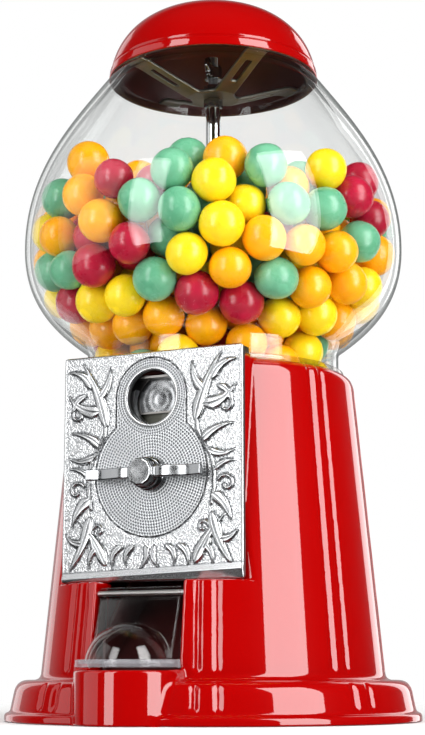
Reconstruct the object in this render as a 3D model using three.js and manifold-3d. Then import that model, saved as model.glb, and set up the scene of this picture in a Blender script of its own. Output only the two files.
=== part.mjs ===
// A coin-operated gumball machine: a hollow cast body on a round plinth, a glass globe under a domed lid,
// a coin mechanism behind a cast plate, and a wheel that carries the balls to a chute and a tray.
// Millimetres, +Z up. The origin is on the floor, under the middle of the footprint. The front faces -Y.
// Sizes below are measured from the upright axis of the machine, which AXIS_Y places in this frame.
import * as THREE from "three";
import { mergeVertices } from "three/addons/utils/BufferGeometryUtils.js";
import Module from "manifold-3d";

const wasm = await Module();
wasm.setup();

// ---- Driving dimensions ----
const GAP = 0.3; // clearance between pieces that touch on the real machine
const ROUND = 40; // facets round a large turned piece
const SMALL = 20; // facets round a small one
const THROUGH = 400; // longer than anything it cuts

const FLANGE_R = 105.7; // lip that stands on the floor
const FLANGE_H = 4.4;
const PLINTH_R = [103, 99.8]; // bottom and top of the plinth's side
const PLINTH_H = 20.3;
const BODY_R = [87.9, 73.3]; // bottom and top of the cone
const BODY_H = 175.4;
const WALL = 3.4;
const EDGE_R = 3; // rounding of the plinth's and the body's top edges
const BASE_RECESS = [101.5, 3]; // radius and depth of the recess that takes the base plate
const SEAT = { bore: 67.2, floor: 171.3, thick: 3, inner: 61 }; // step that carries globe and hopper

const TRAY = { r: 26.5, y: -87.5, top: 25.5, floor: 5, wall: 2.4 };
const CHUTE_HALF = 23.5; // half width of the opening above the tray
const HINGE = { y: -77, z: 61, pin: 1.2, bore: 1.5, barrel: 2.8 };
const AXIS_Y = (TRAY.r - TRAY.y - FLANGE_R) / 2; // centres the footprint on the origin

const PLATE = { half: 49.4, bottom: 66.9, top: 179.3, front: 69.3, thick: 3 };
const BOX = { half: 48, front: 64.7, wall: 1.5 }; // square housing cast into the body behind the plate
const SHAFT_Z = 118.6; // height of the handle's shaft
// Heights above the shaft; edge is the top of the slot behind the coin.
const COIN_HOLE = { up: 38.1, r: 13.3, edge: 31.3 };

const GLOBE = { neck: 66, bottom: 173.4, shoulder: 190.5, widest: 100.3, middle: 245, glass: 2.6 };
const MOUTH = { r: 55.8, z: 340.3, collar: 52.5, top: 343.2 };
const LID = { r: 56.8, rim: 341, top: 381, below: 8, power: 2.4, sheet: 1.5 }; // below: hidden foot of the curve
const FILL = { bottom: 163, side: 262, top: 284, clear: 1.2 };

const ROD = { r: 2.5, top: 355 };
const SLEEVE_R = 4;
const HUB_Z = 331.3; // underside of the bracket that spans the globe's mouth

const WHEEL = { r: 55.2, bottom: 129.7, rim: 151.7, hub: 158, pockets: 6, pocketR: 12.8, pocketAt: 30 };
const HOPPER = { inner: 55.8, outer: 57.7 };
const CROWN = { teeth: 36, r0: 45.9, r1: 53.4, tip: 6.9 }; // teeth under the wheel; tip is above the shaft
const PINION = { teeth: 6, r: 10.6, root: 5.6, y0: 46.4, y1: 53 };
const RATCHET = { teeth: 12, r: 9.6, root: 8, y0: 53.6, y1: 57 };
const COIN_WHEEL = { r: 44.5, y0: 60, y1: 63.8 };
const PAN = { half: 46.2, bottom: 72.5, top: 168, back: 58.1, front: 64.4, sheet: 1.1 };
const SHAFT_R = 4;

// Pairs of flutes run down the body and the plinth, at these angles from the front, in degrees.
const FLUTE_PAIRS = [24.2, 69.9, 110.1, 155.8];
const FLUTE = { r: 3.4, deep: 1.2, apart: 6.3 };

// ---- Solids: three.js geometry in, manifold solid out ----
const rad = THREE.MathUtils.degToRad;

function solid(geometry) {
  const bare = new THREE.BufferGeometry();
  const source = geometry.index ? geometry.toNonIndexed() : geometry;
  bare.setAttribute("position", source.getAttribute("position"));
  const merged = mergeVertices(bare, 1e-4);
  const made = new wasm.Manifold(
    new wasm.Mesh({
      numProp: 3,
      vertProperties: merged.attributes.position.array,
      triVerts: new Uint32Array(merged.index.array),
    }),
  );
  if (made.volume() <= 0) throw new Error("a solid is inside out");
  return made;
}

function join(first, ...others) {
  return others.reduce((sum, other) => sum.add(other), first);
}

function cut(first, ...others) {
  return others.reduce((rest, other) => rest.subtract(other), first);
}

// A turned piece about Z. Its outline is a list of [radius, height], in either direction.
function turned(outline, facets = ROUND) {
  const area = outline.reduce((sum, [r, z], i) => {
    const [r1, z1] = outline[(i + 1) % outline.length];
    return sum + r * z1 - r1 * z;
  }, 0);
  const points = outline.map(([r, z]) => new THREE.Vector2(r, z));
  if (area < 0) points.reverse();
  const onAxis = points.some((p) => p.x === 0);
  if (onAxis) {
    while (points[0].x !== 0 || points.at(-1).x !== 0) points.push(points.shift());
  } else points.push(points[0].clone());
  return solid(new THREE.LatheGeometry(points, facets).rotateX(Math.PI / 2));
}

function box([x0, x1], [y0, y1], [z0, z1]) {
  const shape = new THREE.BoxGeometry(x1 - x0, y1 - y0, z1 - z0);
  return solid(shape.translate((x0 + x1) / 2, (y0 + y1) / 2, (z0 + z1) / 2));
}

// A round bar along Z from z0 to z1.
function bar(r, z0, z1, facets = SMALL, x = 0, y = 0) {
  const shape = new THREE.CylinderGeometry(r, r, z1 - z0, facets).rotateX(Math.PI / 2);
  return solid(shape.translate(x, y, (z0 + z1) / 2));
}

function tube(outer, inner, z0, z1, facets = SMALL) {
  return turned([[inner, z0], [outer, z0], [outer, z1], [inner, z1]], facets);
}

function shapeOf(outline) {
  return new THREE.Shape(outline.map(([x, y]) => new THREE.Vector2(x, y)));
}

// A flat outline in the XY plane, raised from z0 to z1.
function raised(outline, z0, z1, curveSegments = 8) {
  const shape = outline instanceof THREE.Shape ? outline : shapeOf(outline);
  const options = { depth: z1 - z0, bevelEnabled: false, curveSegments };
  return solid(new THREE.ExtrudeGeometry(shape, options).translate(0, 0, z0));
}

// An outline of [y, z] raised along X from -half to half.
function across(outline, half) {
  const options = { depth: 2 * half, bevelEnabled: false };
  const made = new THREE.ExtrudeGeometry(shapeOf(outline), options).translate(0, 0, -half);
  return solid(made.rotateY(Math.PI / 2).rotateX(Math.PI / 2));
}

// A round bar along X, centred on the machine's middle plane.
function crossBar(r, length, y, z, facets = 14) {
  const shape = new THREE.CylinderGeometry(r, r, length, facets).rotateZ(Math.PI / 2);
  return solid(shape.translate(0, y, z));
}

function hexagon(flats, z0, z1) {
  return bar(flats / 2 / Math.cos(Math.PI / 6), z0, z1, 6);
}

function arc(r, z, radius, from, to, steps = 3) {
  return Array.from({ length: steps + 1 }, (_, i) => {
    const a = rad(from + ((to - from) * i) / steps);
    return [r + radius * Math.cos(a), z + radius * Math.sin(a)];
  });
}

// Points along a cubic curve between [radius, height] ends, first one left out.
function curve(p0, p1, p2, p3, steps) {
  const corners = [p0, p1, p2, p3].map(([x, y]) => new THREE.Vector2(x, y));
  const path = new THREE.CubicBezierCurve(...corners);
  return path.getPoints(steps).slice(1).map((p) => [p.x, p.y]);
}

// Copies of a solid, evenly spaced about Z.
function ring(piece, count, first = 0) {
  const copies = Array.from({ length: count }, (_, i) => piece.rotate([0, 0, first + (360 * i) / count]));
  return join(...copies);
}

// ---- Materials ----
function finish(color, roughness, metalness, opacity = 1) {
  return new THREE.MeshStandardMaterial({ color, roughness, metalness, opacity, transparent: opacity < 1 });
}
const RED = finish(0xc80008, 0.12, 0);
const CHROME = finish(0xcfd3d6, 0.15, 1);
const ZINC = finish(0x9a9ea2, 0.4, 1);
const STEEL = finish(0x6d6a66, 0.4, 1);
const BRASS = finish(0xb08d57, 0.35, 1);
const GLASS = finish(0xeaf4f0, 0.03, 0, 0.3);
const CLEAR = finish(0xf4f4f0, 0.1, 0, 0.35);
const WHITE = finish(0xdedad0, 0.5, 0);
const BLACK = finish(0x1c1c1c, 0.7, 0);
const GUM = finish(0xf09a20, 0.3, 0);

const machine = new THREE.Group();
machine.position.set(0, AXIS_Y, 0);
// Pieces on the handle's shaft: local Z runs along the shaft towards the front, local Y is up.
const mechanism = new THREE.Group();
mechanism.position.set(0, 0, SHAFT_Z);
mechanism.rotation.x = Math.PI / 2;
machine.add(mechanism);

function put(name, piece, material, group = machine) {
  const { numProp, vertProperties, triVerts } = piece.getMesh();
  const position = new Float32Array((vertProperties.length / numProp) * 3);
  for (let i = 0; i < position.length / 3; i++)
    position.set(vertProperties.subarray(i * numProp, i * numProp + 3), i * 3);
  const geometry = new THREE.BufferGeometry();
  geometry.setAttribute("position", new THREE.BufferAttribute(position, 3));
  geometry.setIndex(new THREE.BufferAttribute(triVerts, 1));
  geometry.computeVertexNormals();
  const mesh = new THREE.Mesh(geometry, material);
  mesh.name = name;
  group.add(mesh);
  return mesh;
}

// ---- Body ----
function bodyRadius(z) {
  return THREE.MathUtils.mapLinear(z, PLINTH_H, BODY_H, BODY_R[0], BODY_R[1]);
}

function plinthRadius(z) {
  return THREE.MathUtils.mapLinear(z, FLANGE_H, PLINTH_H, PLINTH_R[0], PLINTH_R[1]);
}

// A round-ended flute along the slope between two heights, at an angle from the front.
function flute(angle, radiusAt, z0, z1) {
  const stand = FLUTE.r - FLUTE.deep;
  const ends = [z0, z1].map((z) => {
    const r = radiusAt(z) + stand;
    return new THREE.Vector3(r * Math.sin(rad(angle)), -r * Math.cos(rad(angle)), z);
  });
  const along = ends[1].clone().sub(ends[0]);
  const shape = new THREE.CapsuleGeometry(FLUTE.r, along.length(), 1, 7);
  const up = new THREE.Vector3(0, 1, 0);
  const turn = new THREE.Quaternion().setFromUnitVectors(up, along.clone().normalize());
  shape.applyQuaternion(turn);
  return solid(shape.translate(...ends[0].lerp(ends[1], 0.5).toArray()));
}

function bodyOutside() {
  const lip = FLANGE_H / 4;
  const plinthEdge = plinthRadius(PLINTH_H - EDGE_R);
  const bodyEdge = bodyRadius(BODY_H - EDGE_R);
  const cone = turned([
    [0, 0],
    [FLANGE_R, 0],
    ...arc(FLANGE_R - lip, FLANGE_H - lip, lip, 0, 90, 2),
    [plinthRadius(FLANGE_H), FLANGE_H],
    ...arc(plinthEdge - EDGE_R, PLINTH_H - EDGE_R, EDGE_R, 12, 90),
    ...arc(bodyRadius(PLINTH_H) + 2, PLINTH_H + 2, 2, 270, 180, 2),
    ...arc(bodyEdge - EDGE_R, BODY_H - EDGE_R, EDGE_R, 5, 90),
    [0, BODY_H],
  ], 48);
  const angles = FLUTE_PAIRS.flatMap((middle) => [middle - FLUTE.apart / 2, middle + FLUTE.apart / 2]);
  const flutes = angles.flatMap((angle) => [angle, -angle]).flatMap((angle) => [
    flute(angle, bodyRadius, PLINTH_H + 6, BODY_H - 9),
    flute(angle, plinthRadius, FLANGE_H + 4, PLINTH_H - 2),
  ]);
  const plateRecess = box([-THROUGH, THROUGH], [-THROUGH, -BOX.front], [PLATE.bottom, THROUGH]);
  const housing = box([-BOX.half, BOX.half], [-BOX.front, -50], [PLATE.bottom, BODY_H]);
  const tray = bar(TRAY.r, 0, TRAY.top, 44, 0, TRAY.y);
  return join(cut(cone, ...flutes, plateRecess), housing, tray);
}

function bodyInside() {
  const [recessR, recessZ] = BASE_RECESS;
  const plinthWall = 6;
  const hollow = turned([
    [0, -1],
    [recessR, -1],
    [recessR, recessZ],
    [plinthRadius(recessZ) - plinthWall, recessZ],
    [plinthRadius(PLINTH_H) - plinthWall, PLINTH_H - WALL],
    [bodyRadius(PLINTH_H) - WALL, PLINTH_H - WALL],
    [bodyRadius(SEAT.floor) - WALL, SEAT.floor - SEAT.thick],
    [0, SEAT.floor - SEAT.thick],
  ]);
  const ledge = box([-60, 60], [-100, -64], [PLATE.bottom - WALL, PLATE.bottom]);
  const trayEnd = [-104, -68];
  const trayWalls = box([-CHUTE_HALF - TRAY.wall, CHUTE_HALF + TRAY.wall], trayEnd, [recessZ, PLATE.bottom]);
  const inner = BOX.half - BOX.wall;
  const housing = box([-inner, inner], [-BOX.front - 1, -54], [PLATE.bottom + WALL, SEAT.floor - SEAT.thick]);
  return join(cut(hollow, ledge, trayWalls), housing);
}

function trayPocket() {
  const pocket = bar(TRAY.r - TRAY.wall, TRAY.floor, PLATE.bottom + 1, 44, 0, TRAY.y);
  const width = [-CHUTE_HALF, CHUTE_HALF];
  const behind = box(width, [TRAY.y, -60], [TRAY.floor, PLATE.bottom + 1]);
  const above = box(width, [-THROUGH, -60], [TRAY.top, PLATE.bottom + 1]);
  const belowRim = box([-THROUGH, THROUGH], [-THROUGH, THROUGH], [0, TRAY.top]);
  return join(pocket.intersect(belowRim), behind, above);
}

const LUG_TOP = 116.4; // the hopper plate's arms rest on three lugs inside the body
function bodyShell() {
  const seat = bar(SEAT.bore, SEAT.floor, THROUGH, ROUND);
  const throat = bar(SEAT.inner, SEAT.floor - THROUGH / 10, THROUGH, ROUND);
  const frontNotch = box([-18.5, 18.5], [-72, -60], [SEAT.floor, THROUGH]);
  const lug = box([64, 78], [-7, 7], [LUG_TOP - 6, LUG_TOP]);
  const lugs = join(lug, lug.rotate([0, 0, 90]), lug.rotate([0, 0, 180]));
  const cheekWidth = [CHUTE_HALF, CHUTE_HALF + 4.5];
  const cheek = box(cheekWidth, [HINGE.y - 1.8, HINGE.y + 5], [HINGE.z - 5, PLATE.bottom - 1]);
  const cheeks = join(cheek, cheek.mirror([1, 0, 0]));
  const pinHole = crossBar(HINGE.bore, 54, HINGE.y, HINGE.z, 12);
  const hollowed = cut(bodyOutside(), bodyInside());
  return cut(join(hollowed, lugs, cheeks), seat, throat, frontNotch, trayPocket(), pinHole);
}

// ---- Base plate, plug and fasteners under the machine ----
const BASE = { z0: 0.6, z1: 2.7, domeR: 15, dome: 8 };
const PLUG = { x: 0, y: 52, r: 19 };

function basePlate() {
  const plate = turned([
    [3.2, BASE.z0 + BASE.dome],
    [BASE.domeR - 2, BASE.z0 + BASE.dome],
    [BASE.domeR, BASE.z0],
    [BASE_RECESS[0] - GAP, BASE.z0],
    [BASE_RECESS[0] - GAP, BASE.z1],
    [BASE.domeR + 2, BASE.z1],
    [BASE.domeR, BASE.z1 + BASE.dome],
    [3.2, BASE.z1 + BASE.dome],
  ]);
  return cut(plate, bar(PLUG.r, 0, THROUGH, 32, PLUG.x, PLUG.y));
}

function bankPlug() {
  const rise = BASE.z1 + GAP;
  const plug = turned([
    [0, BASE.z0],
    [PLUG.r - GAP, BASE.z0],
    [PLUG.r - GAP, rise],
    [PLUG.r + 2, rise],
    [PLUG.r - 0.5, rise + 2.6],
    [0, rise + 2.6],
  ], 32);
  return plug.translate([PLUG.x, PLUG.y, 0]);
}

// ---- Globe, lid and the rod that holds them ----
function globeOutside() {
  const { neck, bottom, shoulder, widest, middle } = GLOBE;
  return [
    [neck, bottom],
    [neck, shoulder - 4],
    [neck + 1.5, shoulder],
    ...curve([neck + 1.5, shoulder], [85.5, 203], [widest, middle - 28], [widest, middle], 4),
    ...curve([widest, middle], [widest, middle + 40], [78.6, 310], [MOUTH.r, MOUTH.z], 6),
    [MOUTH.collar, MOUTH.z + 1],
    [MOUTH.collar, MOUTH.top],
  ];
}

// The outline moved towards the axis by the glass's thickness, along its own normals.
function inward(outline, by) {
  return outline.map(([r, z], i) => {
    const [ra, za] = outline[Math.max(i - 1, 0)];
    const [rb, zb] = outline[Math.min(i + 1, outline.length - 1)];
    const length = Math.hypot(rb - ra, zb - za);
    return [r - (by * (zb - za)) / length, z + (by * (rb - ra)) / length];
  });
}

function globe() {
  const outside = globeOutside();
  const inside = inward(outside, GLOBE.glass);
  return turned([...outside, ...inside.reverse()]);
}

function lidOutside(shrink = 0) {
  const height = LID.top - LID.rim + LID.below;
  const [r, h] = [LID.r - shrink, height - shrink];
  const foot = LID.top - height;
  const steps = 7;
  const start = Math.asin(((LID.rim - foot) / height) ** (LID.power / 2));
  return Array.from({ length: steps + 1 }, (_, i) => {
    const a = start + ((Math.PI / 2 - start) * i) / steps;
    const up = Math.sin(a) ** (2 / LID.power);
    const out = Math.cos(a) ** (2 / LID.power);
    return [i === steps ? 0 : r * out, foot + h * up];
  });
}

function lid() {
  const outside = lidOutside();
  const inside = lidOutside(LID.sheet);
  outside[0][1] = LID.rim;
  inside[0][1] = LID.rim;
  return turned([...outside, ...inside.reverse()]);
}

function globeFill() {
  const inside = inward(globeOutside(), GLOBE.glass + FILL.clear);
  const walls = inside.filter(([, z]) => z > 185 && z < FILL.side);
  const neckR = HOPPER.inner - 1.8;
  return turned([
    [SLEEVE_R + 1, FILL.bottom],
    [neckR, FILL.bottom],
    [neckR, GLOBE.bottom],
    [neckR + 6, GLOBE.bottom + 6],
    ...walls,
    [72, FILL.top - 7],
    [SLEEVE_R + 1, FILL.top],
  ], 32);
}

// A split ring round the foot of the neck, open where the front plate stands.
function seatRing() {
  const ring = turned([
    [GLOBE.neck + GAP, BODY_H + GAP],
    [SEAT.bore + 1.6, BODY_H + GAP],
    [SEAT.bore + 1.2, BODY_H + 2.8],
    [GLOBE.neck + GAP, BODY_H + 2.8],
  ]);
  return cut(ring, box([-22, 22], [-80, -60], [BODY_H, BODY_H + 5]));
}

// Four straps rise from a hub to the globe's mouth.
function globeBracket() {
  const thick = 2;
  const rim = MOUTH.top + GAP;
  const strap = across([
    [9, HUB_Z], [16, HUB_Z], [44, rim - 2.5], [47, rim], [52, rim],
    [52, rim + thick], [46, rim + thick], [42, rim], [14, HUB_Z + thick], [9, HUB_Z + thick],
  ], 6);
  const slot = box([-1.8, 1.8], [22, 38], [HUB_Z, rim + 4]);
  const hub = tube(12, ROD.r + GAP, HUB_Z, HUB_Z + thick, 24);
  return join(hub, ring(cut(strap, slot), 4, 56));
}

function wingNut() {
  const [z0, z1] = [HUB_Z + 11, HUB_Z + 23];
  const wing = across([[3, z0], [7, z0 + 1], [9, z1], [6.5, z1], [3, z0 + 6]], 1.3);
  const nut = join(bar(4.6, z0, z0 + 7, 16), wing, wing.rotate([0, 0, 180]));
  return cut(nut, bar(ROD.r + GAP, 0, THROUGH, 16));
}

function nutOnRod(flats, z0, z1) {
  return cut(hexagon(flats, z0, z1), bar(ROD.r + GAP, z0 - 1, z1 + 1, 16));
}

// ---- Hopper and candy wheel ----
const PLATE_TOP = WHEEL.bottom - GAP;
const HOPPER_PLATE = { r: 44.9, thick: 3, armZ: LUG_TOP + GAP, armThick: 3.5 };

function hopperRing() {
  const { inner, outer } = HOPPER;
  const flange = SEAT.floor + GAP;
  return turned([
    [inner, WHEEL.bottom - 1],
    [outer, WHEEL.bottom - 1],
    [outer, flange],
    [GLOBE.neck, flange],
    [GLOBE.neck, GLOBE.bottom - GAP],
    [inner + 2, GLOBE.bottom - GAP],
    [inner, 165],
  ]);
}

function hopperPlate() {
  const { r, thick, armZ, armThick } = HOPPER_PLATE;
  const plate = bar(r, PLATE_TOP - thick, PLATE_TOP, 48);
  const riser = box([r - 6, r - 1], [-6, 6], [armZ, PLATE_TOP - thick / 2]);
  const reach = bodyRadius(armZ) - WALL - 1.5;
  const arm = join(riser, box([r - 6, reach], [-6, 6], [armZ, armZ + armThick]));
  const arms = join(arm, arm.rotate([0, 0, 90]), arm.rotate([0, 0, 180]));
  const drop = bar(WHEEL.pocketR + 0.2, 0, THROUGH, 28, 0, -WHEEL.pocketAt);
  const screws = [0, 90, 180].map((a) => bar(2.2, 0, THROUGH, 12, 70, 0).rotate([0, 0, a]));
  return cut(join(plate, arms), drop, bar(SLEEVE_R + 0.5, 0, THROUGH, 16), ...screws);
}

function candyWheel() {
  const dome = turned([
    [SLEEVE_R + 0.5, WHEEL.bottom],
    [WHEEL.r, WHEEL.bottom],
    [WHEEL.r, WHEEL.rim],
    [13, WHEEL.hub - 1],
    [11, WHEEL.hub],
    [SLEEVE_R + 0.5, WHEEL.hub],
  ], 40);
  const pocket = bar(WHEEL.pocketR, 0, THROUGH, 18, 0, -WHEEL.pocketAt);
  const pitch = 360 / CROWN.teeth;
  const [foot, tip] = [1.5, 0.9]; // half thicknesses of a tooth
  const top = WHEEL.bottom + 0.5 - SHAFT_Z;
  const outline = [[-foot, top], [-tip, CROWN.tip], [tip, CROWN.tip], [foot, top]];
  const tooth = raised(outline, CROWN.r0, CROWN.r1).rotate([90, 0, 0]).translate([0, 0, SHAFT_Z]);
  return join(cut(dome, ring(pocket, WHEEL.pockets)), ring(tooth, CROWN.teeth, pitch / 2));
}

// Keeps balls from falling straight through the pocket that stands over the drop.
function ballShield() {
  const [z0, z1] = [WHEEL.hub + 1, WHEEL.hub + 2.6];
  const half = 27;
  const sector = new THREE.Shape();
  sector.absarc(0, 0, HOPPER.inner - GAP, rad(270 - half), rad(270 + half), false);
  sector.absarc(0, 0, 13, rad(270 + half), rad(270 - half), true);
  return raised(sector, z0, z1, 14);
}

// A trough that catches a ball under the drop and rolls it forward to the tray.
function ballChute() {
  const [front, back] = [-76, -17];
  const slope = 0.9;
  const sheet = 1.5;
  const half = 21.5;
  const floorAt = (y) => 20 + (y - front) * slope;
  const wallTop = SHAFT_Z - 15;
  const side = [
    [front, floorAt(front)], [back, floorAt(back)], [back, wallTop], [-46, wallTop],
    [-46, floorAt(-46) + 28], [front, floorAt(front) + 20],
  ];
  const inside = [
    [front - 5, floorAt(front - 5) + sheet], [back - sheet, floorAt(back - sheet) + sheet],
    [back - sheet, THROUGH], [front - 5, THROUGH],
  ];
  const trough = cut(across(side, half), across(inside, half - sheet));
  const hanger = join(
    box([-12, 12], [back - sheet, back], [wallTop - 1, PLATE_TOP - HOPPER_PLATE.thick - GAP]),
    box([-12, 12], [back - sheet, back + 8], [PLATE_TOP - 7, PLATE_TOP - HOPPER_PLATE.thick - GAP]),
  );
  return join(trough, hanger);
}

function panScrew(length, head) {
  const dome = turned([[0, 0], [head, 0], [head * 0.85, head * 0.5], [0, head * 0.7]], 14);
  return join(dome, bar(1.9, -length, 0.1, 12));
}

// ---- Coin mechanism: local Z runs forward along the shaft, local Y is up from it ----
function frontPlate() {
  const [low, high] = [PLATE.bottom - SHAFT_Z, PLATE.top - SHAFT_Z];
  const round = 2;
  const face = new THREE.Shape();
  face.moveTo(-PLATE.half + round, low).lineTo(PLATE.half - round, low);
  face.absarc(PLATE.half - round, low + round, round, rad(-90), 0, false);
  face.absarc(PLATE.half - round, high - round, round, 0, rad(90), false);
  face.absarc(-PLATE.half + round, high - round, round, rad(90), rad(180), false);
  face.absarc(-PLATE.half + round, low + round, round, rad(180), rad(270), false);
  const plate = raised(face, PLATE.front - PLATE.thick, PLATE.front, 4);
  const coin = bar(COIN_HOLE.r, 0, THROUGH, 32, 0, COIN_HOLE.up);
  return cut(plate, coin, bar(7, 0, THROUGH, 28));
}

// Steel sheet behind the plate. Its top is bent back in two ears that clear the globe's neck.
function backingSheet() {
  const [back, front] = [BOX.front + GAP, PLATE.front - PLATE.thick - GAP];
  const [low, high] = [PLATE.bottom - SHAFT_Z + 2, PLATE.top - SHAFT_Z - 0.8];
  const sheet = box([-48.5, 48.5], [low, high], [back, front]);
  const lipLow = BODY_H - SHAFT_Z + GAP;
  const lip = box([-48.5, 48.5], [lipLow, high], [front - 6.1, front]);
  const neck = bar(SEAT.bore + 2, -THROUGH, THROUGH, ROUND).rotate([90, 0, 0]);
  const middle = box([-18, 18], [SEAT.floor - SHAFT_Z - 1, THROUGH], [0, THROUGH]);
  const coin = bar(COIN_HOLE.r + 0.6, 0, THROUGH, 32, 0, COIN_HOLE.up);
  return cut(join(sheet, cut(lip, neck)), middle, coin, bar(7.4, 0, THROUGH, 24));
}

// Shallow steel pan that houses the coin wheel. The coin stands against its back, over a slot with a
// straight upper edge, and drops out at one side of its foot once the wheel has carried it round.
function mechPan() {
  const { half, back, front, sheet } = PAN;
  const [low, high] = [PAN.bottom - SHAFT_Z, PAN.top - SHAFT_Z];
  const outside = box([-half, half], [low, high], [back, front]);
  const inside = box([-half + sheet, half - sheet], [low + sheet, high - sheet], [back + sheet, THROUGH]);
  const coinExit = box([25, 43], [low - 1, low + 2], [back + sheet, THROUGH]);
  const below = box([-20, 20], [-COIN_HOLE.up, COIN_HOLE.edge], [0, THROUGH]);
  const slot = bar(COIN_HOLE.r, 0, THROUGH, 32, 0, COIN_HOLE.up).intersect(below);
  return cut(outside, inside, coinExit, slot, bar(SHAFT_R + 2, 0, THROUGH, 24));
}

function coinWheel() {
  const { r, y0, y1 } = COIN_WHEEL;
  const bite = bar(12.6, 0, THROUGH, 28, 0, COIN_HOLE.up - 1);
  const underBite = box([-15, 15], [10, 40], [0, THROUGH]);
  const windows = cut(ring(bar(9, 0, THROUGH, 20, 0, 24), 3, 90), underBite);
  const hub = bar(9, y0 + 1, y1, 24);
  return cut(join(bar(r, y0, y1, 48), hub), bite, windows, shaftHole());
}

const KEY_HALF = 2.9; // flats on the shaft that drive every piece on it
function shaftSection(clearance = 0) {
  const round = bar(SHAFT_R + clearance, 0, THROUGH, 24);
  const flats = box([-THROUGH, THROUGH], [-KEY_HALF - clearance, KEY_HALF + clearance], [-1, THROUGH]);
  return round.intersect(flats);
}

function shaftHole() {
  return shaftSection(GAP);
}

const SHAFT_END = 43.8; // inner end of the shaft, short of the falling ball
const HANDLE = { y0: 74, front: 81, cap: 6.8, span: 31.2, high: 5.6 };
function handleShaft() {
  const keyed = shaftSection().intersect(bar(20, SHAFT_END, HANDLE.front - 2, 24));
  const groove = tube(SHAFT_R + 1, 2.6, SHAFT_END + 0.9, SHAFT_END + 2, 24);
  return cut(keyed, groove);
}

function shaftClip() {
  const clip = tube(6, 2.9, SHAFT_END + 1.05, SHAFT_END + 1.85, 20);
  return cut(clip, box([-2.2, 2.2], [-THROUGH, 0], [0, THROUGH]));
}

function bushing() {
  const [back, proud] = [PLATE.front - PLATE.thick - 1.2, PLATE.front + GAP];
  return turned([
    [SHAFT_R + GAP, back],
    [6.7, back],
    [6.7, proud],
    [8.4, proud],
    [8.4, proud + 1.8],
    [7.4, proud + 2.6],
    [SHAFT_R + GAP, proud + 2.6],
  ], 28);
}

// A cap with two wings. Seen from above each wing is a thin blade with a gentle wave.
function handle() {
  const { y0, front, cap, span, high } = HANDLE;
  const middle = (y0 + front) / 2 - 0.6;
  const steps = 9;
  const wave = (x) => middle + 0.9 * Math.sin(((x - cap) / (span - cap)) * 2 * Math.PI);
  const thick = (x) => 1.7 + 0.5 * Math.cos(((x - cap) / (span - cap)) * 2 * Math.PI);
  const xs = Array.from({ length: steps + 1 }, (_, i) => 2 + ((span - 2) * i) / steps);
  const outline = [
    ...xs.map((x) => [x, wave(x) - thick(x)]),
    ...xs.reverse().map((x) => [x, wave(x) + thick(x)]),
  ];
  // The blade is drawn in plan and turned so that its height runs up local Y.
  const wing = raised(outline, -high / 2, high / 2).rotate([90, 0, 0]);
  const hub = turned([
    [0, y0],
    [cap + 1, y0],
    [cap + 1, y0 + 1.5],
    [cap, y0 + 2.5],
    [cap, front - 0.8],
    [cap - 1, front],
    [0, front],
  ], 12);
  const bore = shaftHole().intersect(bar(20, 0, HANDLE.front - 1.6, 12));
  return cut(join(hub, wing, wing.rotate([0, 0, 180])), bore);
}

function drivePinion() {
  const { teeth, r, root, y0, y1 } = PINION;
  const [foot, tip] = [1.7, 0.9];
  const outline = [[-foot, 0], [foot, 0], [foot, root], [tip, r], [-tip, r], [-foot, root]];
  return cut(join(bar(root + 0.6, y0, y1, 24), ring(raised(outline, y0, y1), teeth)), shaftHole());
}

function ratchetWheel() {
  const { teeth, r, root, y0, y1 } = RATCHET;
  const outline = Array.from({ length: teeth }, (_, i) => (2 * Math.PI * i) / teeth).flatMap((a) => [
    [r * Math.cos(a), r * Math.sin(a)],
    [root * Math.cos(a + 0.03), root * Math.sin(a + 0.03)],
  ]);
  return cut(raised(outline, y0, y1), shaftHole());
}

// The pawl lies beside the ratchet and rides on its crests. It turns on a pin at PAWL.x, PAWL.y.
const PAWL = { x: 19, y: -15, pin: 1.4, y0: 54, y1: 56.6 };
function pawl() {
  const { x, y, pin, y0, y1 } = PAWL;
  const clear = RATCHET.r + GAP;
  const tip = rad(-32);
  const point = [clear * Math.cos(tip), clear * Math.sin(tip)];
  const heel = [point[0] + 0.4, point[1] - 2.6];
  const arm = raised([heel, point, [x + 2.6, y + 1], [x + 2, y - 2.4]], y0, y1);
  const tail = raised([[x - 1, y - 2], [x + 1, y - 8], [x + 3, y - 7.4], [x + 2.6, y]], y0, y1);
  const crest = bar(clear, 0, THROUGH, 48);
  return cut(join(bar(3.4, y0, y1, 18, x, y), arm, tail), crest, bar(pin + GAP, 0, THROUGH, 14, x, y));
}

function pawlPin() {
  const { x, y, pin, y0 } = PAWL;
  return join(bar(pin, y0 - 1.2, PAN.back - GAP, 14, x, y), bar(2.6, y0 - 1.6, y0 - 0.4, 14, x, y));
}

// A coil spring between the pan and the pawl's tail.
function pawlSpring() {
  const [turns, length, coil, perTurn] = [3, 9, 1.5, 10];
  const steps = turns * perTurn;
  const start = new THREE.Vector3(PAWL.x + 2.2, PAWL.y - 9.2, (PAWL.y0 + PAWL.y1) / 2);
  const points = Array.from({ length: steps + 1 }, (_, i) => {
    const a = (2 * Math.PI * i) / perTurn;
    const offset = new THREE.Vector3(coil * Math.cos(a), (-i * length) / steps, coil * Math.sin(a));
    return offset.add(start);
  });
  const section = new THREE.Shape().absarc(0, 0, 0.35, 0, 2 * Math.PI);
  const path = new THREE.CatmullRomCurve3(points);
  const options = { steps, bevelEnabled: false, extrudePath: path, curveSegments: 3 };
  return solid(new THREE.ExtrudeGeometry(section, options));
}

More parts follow.
